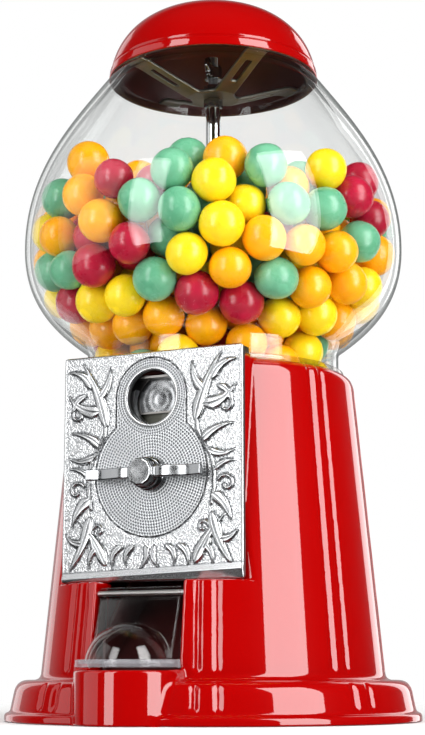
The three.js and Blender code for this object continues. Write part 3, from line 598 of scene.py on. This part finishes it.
def keyhole(x, z):
    """Distance to the knurled field's outline: a disc round the handle, joined to the coin hole's ring."""
    disc = np.hypot(x, z - SHAFT_Z) - 30.5
    collar = np.hypot(x, z - COIN_Z) - 19.3
    neck = both(np.abs(x) - 19.3, np.abs(z - (SHAFT_Z + 24)) - 13)
    return either(disc, either(collar, neck))


def dimples(x, z, cx, cz, pitch):
    """1 at the middle of small dimples that stand in rings round a point, 0 between them."""
    r, a = np.hypot(x - cx, z - cz), np.arctan2(z - cz, x - cx)
    row = np.maximum(np.round(r / pitch), 1)
    count = np.round(2 * math.pi * row)
    turn = a / (2 * math.pi) * count + 0.38 * row
    along = (turn - np.round(turn)) * 2 * math.pi * row * pitch / count
    return np.exp(-(((r - row * pitch) ** 2 + along**2) / 0.42**2))


def plate_height(x, z):
    """Height of the relief above the plate's ground, mm, and two values 0 to 1: painted shade for the
    hollows, and 'ground'.
    """
    hole = np.hypot(x, z - COIN_Z) - COIN_R
    field = keyhole(x, z)
    edge = np.minimum(PLATE_HALF - np.abs(x), np.minimum(z - PLATE_LOW, PLATE_HIGH - z))
    inside, groove = ornament(x, z)
    inside = np.minimum(inside, np.minimum(field - 1.2, edge - 2.2))
    leaf = step_up(inside, -0.1, 0.9)
    height = 0.8 * leaf + 0.12 * np.clip(inside, 0, 2.5) - 0.34 * groove * leaf
    outline = np.exp(-(((inside + 0.30) / 0.34) ** 2))
    disc = step_up(-field, 0.5, 0.9)
    spots = np.where(hole < 5.6, dimples(x, z, 0, COIN_Z, 1.3), dimples(x, z, 0, SHAFT_Z, 1.45))
    height = height * (1 - disc) - 0.26 * spots * disc
    line = np.exp(-(((field - 0.1) / 0.36) ** 2))
    height = height - 0.35 * line
    ring = 1 - step_up(np.abs(hole - 0.7), 0.5, 1.0)
    height = height * (1 - ring) + 0.2 * ring
    border = 1 - step_up(edge, 1.0, 1.4)
    height = height * (1 - border) + 0.10 * border
    rise = (z - PLATE_LOW) - 0.035 * (x + PLATE_HALF)
    bar = 1 - step_up(rise, 4.3, 4.8)
    height = height * (1 - bar) + (0.7 - 0.28 * np.abs(rise - 1.8)) * bar
    height = height - 0.9 * (1 - step_up(edge, -0.4, 0.9)) - 0.5 * (1 - step_up(hole, -0.3, 0.6))
    polish = np.maximum(np.maximum(border, bar), ring)
    fade = np.exp(-(((rise - 4.7) / 0.4) ** 2))
    # Painted shade: dark rings round the leaves, dark dimples, a dark line in the groove round the knurled
    # field, dark midribs and a dark line at the bar's top edge. The knurled disc is also a little darker all
    # over, and polished bands stay light.
    recess_shade = 0.7 * outline * (1 - disc) + (0.13 + 0.87 * spots) * disc + 0.85 * line + 0.3 * groove * leaf
    recess_shade = np.clip(recess_shade, 0, 1) * (1 - polish) + 0.5 * fade
    ground = (1 - leaf) * (1 - disc) * (1 - polish)
    return height, np.clip(recess_shade, 0, 1), ground


def make_front_plate():
    step = 0.26
    xs = np.linspace(-PLATE_HALF, PLATE_HALF, int(2 * PLATE_HALF / step))
    zs = np.linspace(PLATE_LOW, PLATE_HIGH, int((PLATE_HIGH - PLATE_LOW) / step))
    x, z = (g.ravel() for g in np.meshgrid(xs, zs, indexing="ij"))
    corner = 2.0
    cx, cz = PLATE_HALF - corner, (PLATE_HIGH - PLATE_LOW) / 2 - corner
    mz = (PLATE_HIGH + PLATE_LOW) / 2
    ox, oz = np.maximum(np.abs(x) - cx, 0), np.maximum(np.abs(z - mz) - cz, 0)
    far = np.maximum(np.hypot(ox, oz) / corner, 1)
    x = np.where(far > 1, np.sign(x) * (cx + ox / far), x)
    z = np.where(far > 1, mz + np.sign(z - mz) * (cz + oz / far), z)
    rows, cols = len(xs), len(zs)
    i, j = np.meshgrid(np.arange(rows - 1), np.arange(cols - 1), indexing="ij")
    here, next_row = i * cols + j, (i + 1) * cols + j
    quads = np.stack([here, next_row, next_row + 1, here + 1], -1).reshape(-1, 4)
    out = np.hypot(x, z - COIN_Z) > COIN_R
    quads = quads[out[quads].any(1)]
    used = np.unique(quads)
    near = used[~out[used]]
    scale = COIN_R / np.maximum(np.hypot(x[near], z[near] - COIN_Z), 1e-6)
    x[near], z[near] = x[near] * scale, COIN_Z + (z[near] - COIN_Z) * scale
    height, recess_shade, ground = plate_height(x, z)
    renumber = np.full(len(x), -1)
    renumber[used] = np.arange(len(used))
    points = np.stack([x, PLATE_FRONT + 0.15 - height, z], 1)[used]
    plate = new_mesh("front_plate_look", points, renumber[quads])
    bm = bmesh.new()
    bm.from_mesh(plate.data)
    low, plain = bm.verts.layers.float.new("recess_shade"), bm.verts.layers.float.new("ground")
    for v, value, texture in zip(bm.verts, recess_shade[used], ground[used]):
        v[low], v[plain] = value, texture
    border = [e for e in bm.edges if e.is_boundary]
    grown = bmesh.ops.extrude_edge_only(bm, edges=border)["geom"]
    back = [v for v in grown if isinstance(v, bmesh.types.BMVert)]
    # The plate's side walls get a middling painted shade.
    for v in back:
        v.co.y = (PLATE_BACK + AXIS_Y) * 0.001
        v[low], v[plain] = 0.35, 0
    rim = [e for e in grown if isinstance(e, bmesh.types.BMEdge) and e.is_boundary]
    bmesh.ops.triangle_fill(bm, edges=rim, use_beauty=False, use_dissolve=False)
    bmesh.ops.recalc_face_normals(bm, faces=bm.faces)
    bm.to_mesh(plate.data)
    bm.free()
    smooth(plate, 50)
    use(plate, RELIEF, replaces=["front_plate"])


# ---- Handle, bushing and the coin mechanism behind the hole ----
def handle_field(x, y, z):
    z = z - SHAFT_Z
    ax = np.abs(x)
    front, back, cap_r, span = -81.0, -74.0, 6.7, 31.4
    middle = (front + back) / 2 + 0.6
    turn = np.clip((ax - cap_r) / (span - cap_r), 0, 1) * 2 * math.pi
    wave = middle - 0.9 * np.sin(turn)
    thick = 1.45 + 0.4 * np.cos(turn)
    wing = both(both(np.abs(y - wave) - thick, np.abs(z) - 2.75, 0.9), ax - span, 0.9)
    wing = both(wing, 3 - ax)
    a = np.arctan2(z, x)
    sides = 12
    fold = (a + math.pi / sides) % (2 * math.pi / sides) - math.pi / sides
    r = np.hypot(x, z)
    flats = r * np.cos(fold)
    cap = both(both(flats - cap_r, front - y, 1.3), y - (back - 0.9), 0.4)
    skirt = both(both(r - (cap_r + 1), back - 2 - y, 0.8), y - back, 0.5)
    hub = either(cap, skirt, 0.8)
    bore = both(r - 4.1, front + 1.6 - y)
    return minus(either(hub, wing, 1.2), bore)


def make_handle():
    step = 0.33
    z = (SHAFT_Z - 8, SHAFT_Z + 8)
    handle = surface("handle_look", handle_field, (-32, -82, z[0]), (32, -73.4, z[1]), step)
    use(handle, NICKEL, "handle", replaces=["handle"])


def lying(obj, height=SHAFT_Z):
    """Turns a piece made about Z so that its Z runs forward along the shaft."""
    mesh = obj.data
    x, y, z = machine_points(mesh).T
    turned = np.stack([x, -z, y + height], 1)
    mesh.vertices.foreach_set("co", to_frame(turned).ravel())
    mesh.update()
    return obj


def make_bushing():
    outline = [(4.3, 65.1), (6.7, 65.1), (6.7, 69.6), (8.4, 69.6), (8.4, 71.4), (7.4, 72.2), (4.3, 72.2)]
    bushing = lying(lathe("bushing_look", rounded(outline, 0.5), 72))
    smooth(bushing)
    use(bushing, NICKEL, replaces=["shaft_bushing"])


def make_coin_stop():
    """The pan's back where a coin rests: a dished boss with turning marks and a straight lower edge."""
    rings = np.linspace(0, 11.6, 30)
    profile = [(r, 59.42 + 0.014 * math.cos(r * 1.9) - 0.0024 * (r - 6) ** 2) for r in rings]
    profile += [(12.1, 58.9), (12.1, 58.3), (0, 58.3)]
    boss = lathe("coin_stop", profile, 96, closed=False)
    bm = bmesh.new()
    bm.from_mesh(boss.data)
    cut = 5.9
    plane = Vector((0, (-cut + AXIS_Y) * 0.001, 0))
    geometry = bm.verts[:] + bm.edges[:] + bm.faces[:]
    done = bmesh.ops.bisect_plane(bm, geom=geometry, plane_co=plane, plane_no=(0, 1, 0), clear_inner=True)
    edges = [e for e in done["geom_cut"] if isinstance(e, bmesh.types.BMEdge)]
    bmesh.ops.edgeloop_fill(bm, edges=edges)
    bmesh.ops.recalc_face_normals(bm, faces=bm.faces)
    bm.to_mesh(boss.data)
    bm.free()
    lying(boss, COIN_Z)
    smooth(boss, 40)
    use(boss, NICKEL)


# ---- Globe, lid and their fittings ----
def globe_outline():
    neck, low, shoulder, widest, middle = 66.0, 173.4, 190.5, 100.3, 245.0
    lower = bezier((neck + 1.5, shoulder), (85.5, 203), (widest, middle - 28), (widest, middle), 26)
    upper = bezier((widest, middle), (widest, middle + 40), (78.6, 310), (MOUTH_R, MOUTH_Z), 40)
    foot = [(neck, low), (neck, shoulder - 4), (neck + 0.4, shoulder - 1.8)]
    top = [(COLLAR_R, MOUTH_Z + 1), (COLLAR_R, MOUTH_TOP)]
    return [*foot, (neck + 1.5, shoulder), *map(tuple, lower), *map(tuple, upper), *top]


def inward(outline, by):
    """The outline moved towards the axis by the wall's thickness, along its own normals."""
    line = np.array(outline, float)
    ahead = np.vstack([line[1:], line[-1:]])
    behind = np.vstack([line[:1], line[:-1]])
    run = ahead - behind
    run /= np.linalg.norm(run, axis=1, keepdims=True)
    return line + by * np.stack([-run[:, 1], run[:, 0]], 1)


def make_globe():
    outside = globe_outline()
    inside = inward(outside, GLOBE_GLASS)
    closed = [*outside, *map(tuple, inside[::-1])]
    globe = lathe("globe_look", closed, 192)
    smooth(globe, 50)
    use(globe, GLASS, replaces=["globe"])


def lid_outline(shrink=0.0, steps=40):
    top, rim, power = 381.0, 341.0, 2.4
    height = top - rim + 8
    foot = top - height
    start = math.asin(((rim - foot) / height) ** (power / 2))
    a = np.linspace(start, math.pi / 2, steps)
    radius = (56.8 - shrink) * np.cos(a) ** (2 / power)
    radius[-1] = 0
    return list(zip(radius, foot + (height - shrink) * np.sin(a) ** (2 / power)))


def make_lid():
    """A pressed dome whose foot has a rolled band, set off by a crease."""
    outside = lid_outline()
    crease_z = 346.3
    dressed = []
    for r, z in outside:
        crease = math.exp(-(((z - crease_z) / 0.55) ** 2))
        band = 1 / (1 + math.exp((z - crease_z) / 0.25))
        dressed.append((r - 0.55 * crease + 0.35 * band, z))
    fine = [p for p in dressed if p[1] > 350]
    low = []
    for z in np.linspace(341.4, 350, 34):
        r = np.interp(z, [p[1] for p in outside], [p[0] for p in outside])
        crease = math.exp(-(((z - crease_z) / 0.55) ** 2))
        band = 1 / (1 + math.exp((z - crease_z) / 0.25))
        low.append((r - 0.55 * crease + 0.35 * band, z))
    inner = lid_outline(1.5)
    inner_r = np.interp(341.4, [p[1] for p in inner], [p[0] for p in inner])
    lip = [(inner_r + 0.2, 341.2), (low[0][0] - 0.5, 341.0)]
    closed = [*lip, *low, *fine, *inner[::-1][:-1]]
    lid = lathe("lid_look", closed, 192, closed=True)
    smooth(lid, 60)
    use(lid, RED, "lid", replaces=["lid"])
    lid.data.materials.append(MAROON)
    for face in lid.data.polygons:
        x, y, z = face.center
        outward = face.normal.dot(Vector((x, y - AXIS_Y * 0.001, 0.6 * (z - 0.33))))
        face.material_index = int(outward < 0)


def make_seat_ring():
    outline = [(66.3, 175.7), (68.8, 175.7), (68.6, 177.6), (67.6, 178.2), (66.3, 178.2)]
    ring = lathe("seat_ring_look", rounded(outline, 0.4), 160)
    bm = bmesh.new()
    bm.from_mesh(ring.data)
    middle = AXIS_Y * 0.001
    centres = [(f, f.calc_center_median()) for f in bm.faces]
    gap = [f for f, centre in centres if abs(centre.x) < 0.022 and centre.y < middle - 0.05]
    bmesh.ops.delete(bm, geom=gap, context="FACES")
    bmesh.ops.holes_fill(bm, edges=[e for e in bm.edges if e.is_boundary])
    bm.to_mesh(ring.data)
    bm.free()
    smooth(ring)
    use(ring, FLAP_CLEAR, replaces=["globe_seat_ring"])


def bracket_field(x, y, z):
    r = np.hypot(x, y)
    rim = MOUTH_TOP + 0.3
    thick = 2.0
    heights = [HUB_Z, HUB_Z, rim - 0.8, rim, rim]
    rise = np.interp(np.ravel(r), [0, 14, 43, 46.5, 60], heights).reshape(np.shape(r))
    sheet = both(rise - z, z - (rise + thick), 0.7)
    arm = None
    for angle in (56, 146):
        c, s = math.cos(math.radians(angle)), math.sin(math.radians(angle))
        along, side = -x * s + y * c, x * c + y * s
        strip = np.abs(side) - 6
        slot = both(np.abs(side) - 1.8, np.abs(np.abs(along) - 30) - 8, 1.0)
        strip = both(minus(strip, slot), np.abs(along) - 52)
        arm = strip if arm is None else either(arm, strip, 4)
    plan = either(arm, r - 12, 3)
    return minus(both(sheet, plan, 0.8), r - 2.8)


def make_bracket():
    step = 0.6
    bracket = surface("bracket_look", bracket_field, (-46, -46, HUB_Z - 1), (46, 46, MOUTH_TOP + 3), step)
    use(bracket, BRACKET, replaces=["globe_bracket"])


def wing_nut_field(x, y, z):
    low = HUB_Z + 11
    ay = np.abs(y)
    r = np.hypot(x, y)
    hub = both(both(r - 4.6 + 0.12 * (z - low), z - (low + 7), 1.0), low - z, 0.5)
    reach = np.hypot(ay - 6.4, (z - (low + 7.2)) * 0.85) - 3.1
    wing = both(reach, np.abs(x) - 1.15, 0.8)
    root = both(both(ay - 7, np.abs(z - (low + 4)) - 3.2, 1), np.abs(x) - 1.3, 0.6)
    wing = either(wing, root, 1.2)
    solid = both(either(hub, wing, 1.0), low - z)
    return minus(solid, r - 2.8)


def make_wing_nut():
    low = HUB_Z + 11
    nut = surface("wing_nut_look", wing_nut_field, (-5, -10, low), (5, 10, low + 12), 0.3)
    use(nut, NICKEL, replaces=["wing_nut"])


def make_rod():
    """The rod with a rolled thread at its upper end, and the chrome sleeve round it."""
    low, thread, high = 1.6, 327.0, 355.0
    outline = [(0, low), (2.3, low), (2.5, low + 0.4), (2.5, thread)]
    z = thread
    while z < high - 0.6:
        outline += [(2.5, z + 0.1), (2.1, z + 0.4), (2.5, z + 0.7)]
        z += 0.8
    outline += [(1.9, high), (0, high)]
    rod = lathe("rod_look", outline, 32, closed=False)
    smooth(rod, 40)
    use(rod, ZINC, replaces=["centre_rod"])
    outline = [(2.8, 158.9), (4.0, 158.9), (4.0, HUB_Z - 5.3), (2.8, HUB_Z - 5.3)]
    sleeve = lathe("sleeve_look", rounded(outline, 0.4), 64)
    smooth(sleeve)
    use(sleeve, CHROME, replaces=["rod_sleeve"])


# ---- Gumballs ----
def settle_balls():
    """Drops balls into the globe and lets them push apart until they lie as a heap."""
    random = np.random.default_rng(7)
    line = inward(globe_outline(), GLOBE_GLASS + 0.4)
    order = np.argsort(line[:, 1])
    wall_z, wall_r = line[order, 1], line[order, 0]
    count = 294
    spots = []
    z = 172.0
    while len(spots) < count:
        room = np.interp(z, wall_z, wall_r) - BALL_R
        room = max(room if z > 186 else 46.0, 30)
        r, a = room * math.sqrt(random.random()), random.random() * 2 * math.pi
        spots.append((r * math.cos(a), r * math.sin(a), z))
        z += 0.42 if z > 192 else 1.6
    p = np.array(spots)
    size = BALL_R * (1 + 0.02 * random.standard_normal(count))
    floor = 159.0
    for turn in range(700):
        p[:, 2] -= 0.30 if turn < 550 else 0.05
        for _ in range(2):
            d = p[:, None] - p[None]
            gap = np.linalg.norm(d, axis=2) + np.eye(count) * 1e3
            over = np.maximum(size[:, None] + size[None] - gap, 0)
            p += 0.42 * (d / gap[..., None] * over[..., None]).sum(1)
            r = np.hypot(p[:, 0], p[:, 1])
            z = p[:, 2]
            room = np.interp(z, wall_z, wall_r, left=60.0)
            slope = np.interp(z + 1, wall_z, wall_r, left=60.0) - room
            steep = np.sqrt(1 + slope**2)
            push = np.maximum((r - room) / steep + size, 0)
            p[:, :2] -= (push / steep / np.maximum(r, 1e-6))[:, None] * p[:, :2]
            p[:, 2] += push * slope / steep
            core = np.maximum(size + 4.2 - np.hypot(p[:, 0], p[:, 1]), 0)
            p[:, :2] += (core / np.maximum(np.hypot(p[:, 0], p[:, 1]), 1e-6))[:, None] * p[:, :2]
            ramp = floor + 2.0 * (1 - r / 60)
            p[:, 2] = np.maximum(p[:, 2], ramp + size)
    return p, size


CANDY = {
    "orange": (0.37, candy("candy_orange", (0.96, 0.36, 0.0), (1.0, 0.47, 0.002))),
    "green": (0.25, candy("candy_green", (0.10, 0.36, 0.20), (0.17, 0.48, 0.29))),
    "yellow": (0.21, candy("candy_yellow", (0.92, 0.62, 0.005), (1.0, 0.74, 0.01))),
    "crimson": (0.17, candy("candy_crimson", (0.36, 0.004, 0.022), (0.50, 0.010, 0.046))),
}


def ball_shape():
    bm = bmesh.new()
    bmesh.ops.create_uvsphere(bm, u_segments=24, v_segments=14, radius=1)
    points = np.array([v.co[:] for v in bm.verts])
    quads = [[v.index for v in f.verts] for f in bm.faces]
    bm.free()
    return points, [q if len(q) == 4 else [*q, q[2]] for q in quads]


def make_balls():
    spots, sizes = settle_balls()
    random = np.random.default_rng(21)
    shares = np.array([share for share, _ in CANDY.values()])
    kinds = random.choice(len(CANDY), len(spots), p=shares / shares.sum())
    points, quads = ball_shape()
    halves = [[q[0], q[1], q[2]] for q in quads]
    triangles = np.array(halves + [[q[0], q[2], q[3]] for q in quads if q[2] != q[3]])
    for kind, (name, (_, material)) in enumerate(CANDY.items()):
        parts, faces = [], []
        for spot, size in zip(spots[kinds == kind], sizes[kinds == kind]):
            turn, _ = np.linalg.qr(random.standard_normal((3, 3)))
            squash = 1 + 0.025 * random.standard_normal(3)
            lump = 1 + 0.012 * np.sin(points @ random.normal(0, 3, (3, 1)) + random.random() * 6)
            ball = (points * lump * squash) @ turn * (1 if np.linalg.det(turn) > 0 else -1)
            faces.append(triangles + len(parts) * len(points))
            parts.append(ball * size * 0.985 + spot)
        balls = new_mesh("gumballs_" + name, np.vstack(parts), np.vstack(faces))
        tidy(balls)
        balls.data.shade_smooth()
        use(balls, material, replaces=["gumballs"])


# ---- Flap ----
def flap_field(x, y, z):
    half, sheet, foot_y, foot_z, bubble, bubble_y = 21.5, 1.5, TRAY_Y, TRAY_TOP + 0.8, 20.4, TRAY_Y - 2.5
    run_y, run_z = HINGE_Y - foot_y, HINGE_Z - foot_z
    length = math.hypot(run_y, run_z)
    ny, nz = -run_z / length, run_y / length
    ahead = (y - HINGE_Y) * ny + (z - HINGE_Z) * nz
    along = ((HINGE_Y - y) * run_y + (HINGE_Z - z) * run_z) / length
    panel = both(both(slab(ahead, 0, sheet), np.abs(x) - half, 0.5), slab(along, 0, length - 0.7), 0.3)
    r = np.sqrt(x * x + (y - bubble_y) ** 2 + (z - foot_z) ** 2)
    dome = both(both(r - bubble, 0.7 - ahead), foot_z - z)
    plan = np.hypot(x, y - foot_y)
    lip_r = TRAY_R - 0.6
    front = y - foot_y
    web = both(both(slab(z, foot_z, foot_z + sheet), plan - lip_r, 0.5), front)
    web = both(web, bubble - 2 - np.hypot(x, y - bubble_y))
    lip = both(both(slab(z, foot_z, foot_z + 3.5), slab(plan, lip_r - sheet, lip_r), 0.6), front)
    bar = block(x, y, z, (-lip_r, lip_r), (foot_y - sheet, foot_y + sheet / 2), (foot_z, foot_z + 3.5), 0.5)
    barrel = both(np.hypot(y - HINGE_Y, z - HINGE_Z) - 2.8, np.abs(x) - half, 0.5)
    solid = either(either(either(panel, dome, 1.5), either(web, lip, 0.6), 0.8), either(bar, barrel), 0.8)
    solid = minus(solid, r - (bubble - sheet), 0.3)
    return minus(solid, np.hypot(y - HINGE_Y, z - HINGE_Z) - 1.5)


def make_flap():
    step = 0.45
    flap = surface("flap_look", flap_field, (-27, -115, 25), (27, -73, 65), step)
    use(flap, FLAP_CLEAR, "flap", replaces=["flap"])
    flap.data.materials.append(LIP)
    for face in flap.data.polygons:
        x, y, z = np.array(face.center) * 1000 - (0, AXIS_Y, 0)
        face.material_index = int(z < TRAY_TOP + 4.4 and math.hypot(x, y - TRAY_Y) > TRAY_R - 2.4)


# ---- Other CAD pieces keep their CAD shape, with softened edges ----
def dress_cad():
    finishes = {
        "base_plate": (STEEL, 0.3), "bank_plug": (DARK, 0.5), "base_nut": (ZINC, 0.3),
        "sleeve_nut": (NICKEL, 0.4), "bracket_nut": (NICKEL, 0.4), "hopper_ring": (OLIVE, 0.3),
        "hopper_plate": (ZINC, 0.4), "hopper_screw_1": (STEEL, 0.15), "hopper_screw_2": (STEEL, 0.15),
        "hopper_screw_3": (STEEL, 0.15), "candy_wheel": (WHITE, 0.4), "wheel_bush": (BRASS, 0.15),
        "wheel_nut": (ZINC, 0.3), "ball_shield": (STEEL, 0.2), "ball_chute": (CHUTE, 0.3),
        "backing_sheet": (STEEL, 0.2), "mech_pan": (STEEL, 0.2), "coin_wheel": (ZINC, 0.3),
        "handle_shaft": (STEEL, 0.2), "shaft_clip": (STEEL, 0.1), "drive_pinion": (ZINC, 0.25),
        "ratchet_wheel": (ZINC, 0.2), "pawl": (STEEL, 0.2), "pawl_pin": (STEEL, 0.2),
        "pawl_spring": (STEEL, 0), "flap_pin": (SATIN, 0.2),
    }
    for name, (material, edge) in finishes.items():
        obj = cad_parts[name]
        obj.data.materials.clear()
        obj.data.materials.append(material)
        if edge:
            bevel = obj.modifiers.new("soft_edges", "BEVEL")
            bevel.width = edge * 0.001
            bevel.segments = 2
            bevel.limit_method = "ANGLE"
            bevel.angle_limit = math.radians(40)
            bevel.use_clamp_overlap = True


# ---- Stage, light and camera ----
def make_stage():
    bpy.ops.mesh.primitive_grid_add(size=8, x_subdivisions=2, y_subdivisions=2, location=(0, 0, -0.0002))
    floor = bpy.context.object
    floor.name = "floor"
    n = Nodes("pale_floor")
    color = n.ramp(n.noise(3), [(0.3, 0.72), (0.7, 0.76)])
    paper = n.add("ShaderNodeBsdfDiffuse", {"Color": color}).outputs["BSDF"]
    reach = n.add("ShaderNodeVectorMath", {0: n.coords}, operation="LENGTH").outputs["Value"]
    gone = n.add("ShaderNodeMapRange", {"Value": reach, "From Min": 0.3, "From Max": 0.6}).outputs["Result"]
    empty = n.add("ShaderNodeBsdfTransparent").outputs["BSDF"]
    mix = n.add("ShaderNodeMixShader", {"Fac": gone, 1: paper, 2: empty}).outputs["Shader"]
    n.tree.links.new(mix, n.out.inputs["Surface"])
    floor.data.materials.append(n.material)
    floor.visible_glossy = False
    world = bpy.data.worlds.new("studio")
    world.use_nodes = True
    tree = world.node_tree
    sky = tree.nodes["Background"]
    path = tree.nodes.new("ShaderNodeLightPath")

    def node(kind, inputs=(), **settings):
        made = tree.nodes.new(kind)
        for key, value in settings.items():
            setattr(made, key, value)
        for key, value in dict(inputs).items():
            if isinstance(value, bpy.types.NodeSocket):
                tree.links.new(value, made.inputs[key])
            else:
                made.inputs[key].default_value = value
        return made.outputs

    # The white paper stands behind the machine, so that only rays towards +Y mirror it.
    direction = node("ShaderNodeTexCoord")["Generated"]
    towards_paper = (-0.62, 0.78, 0)
    facing = node("ShaderNodeVectorMath", {0: direction, 1: towards_paper}, operation="DOT_PRODUCT")
    behind = facing["Value"]
    span = {"Value": behind, "From Min": 0.6, "From Max": 0.98, "To Min": 0.012, "To Max": 0.42}
    mirrored = node("ShaderNodeMapRange", span)["Result"]
    seen = node("ShaderNodeMix", {"Factor": path.outputs["Is Diffuse Ray"], "A": 1.0, "B": 0.62})["Result"]
    glossy = path.outputs["Is Glossy Ray"]
    level = node("ShaderNodeMix", {"Factor": glossy, "A": seen, "B": mirrored})["Result"]
    tree.links.new(level, sky.inputs["Color"])
    bpy.context.scene.world = world
    bpy.context.scene.view_settings.view_transform = "Standard"


def softbox(name, azimuth, distance, size, height, radiance, aim=0.2, mirrored=True):
    """A rectangular light round the machine. Azimuth is from the front, positive towards +X."""
    a = math.radians(azimuth)
    place = Vector((distance * math.sin(a), -distance * math.cos(a), height))
    data = bpy.data.lights.new(name, "AREA")
    data.shape = "RECTANGLE"
    data.size, data.size_y = size
    data.energy = radiance * math.pi * size[0] * size[1]
    light = bpy.data.objects.new(name, data)
    light.location = place
    light.rotation_euler = (Vector((0, 0, aim)) - place).to_track_quat("-Z", "Y").to_euler()
    light.visible_glossy = mirrored
    bpy.context.scene.collection.objects.link(light)


def make_lights():
    softbox("key_right", 74, 1.1, (0.60, 1.5), 0.45, 7.2)
    softbox("key_left", -13, 1.3, (0.45, 1.5), 0.5, 5.5)
    softbox("card_left", -55, 1.2, (0.9, 1.3), 0.5, 1.0)
    softbox("rim_left", -118, 1.2, (0.35, 1.6), 0.4, 0.9)
    softbox("rim_right", 168, 1.2, (0.35, 1.6), 0.4, 2.2)
    softbox("top", 20, 0.35, (0.9, 0.9), 1.3, 2.0, mirrored=False)


def make_camera():
    azimuth, tilt, distance, height = 26.12, 10.52, 857.5, 23.4
    a, t = math.radians(azimuth), math.radians(tilt)
    data = bpy.data.cameras.new("photo_view")
    data.lens = 80.74
    data.sensor_width = 36
    data.shift_x = -0.001
    data.clip_start = 0.05
    camera = bpy.data.objects.new("photo_view", data)
    camera.location = to_frame((distance * math.sin(a), -distance * math.cos(a), height))
    look = Vector((-math.sin(a) * math.cos(t), math.cos(a) * math.cos(t), math.sin(t)))
    camera.rotation_euler = look.to_track_quat("-Z", "Y").to_euler()
    bpy.context.scene.collection.objects.link(camera)
    bpy.context.scene.camera = camera


make_body()
make_front_plate()
make_handle()
make_bushing()
make_coin_stop()
make_globe()
make_lid()
make_seat_ring()
make_bracket()
make_wing_nut()
make_rod()
make_balls()
make_flap()
dress_cad()
make_stage()
make_lights()
make_camera()
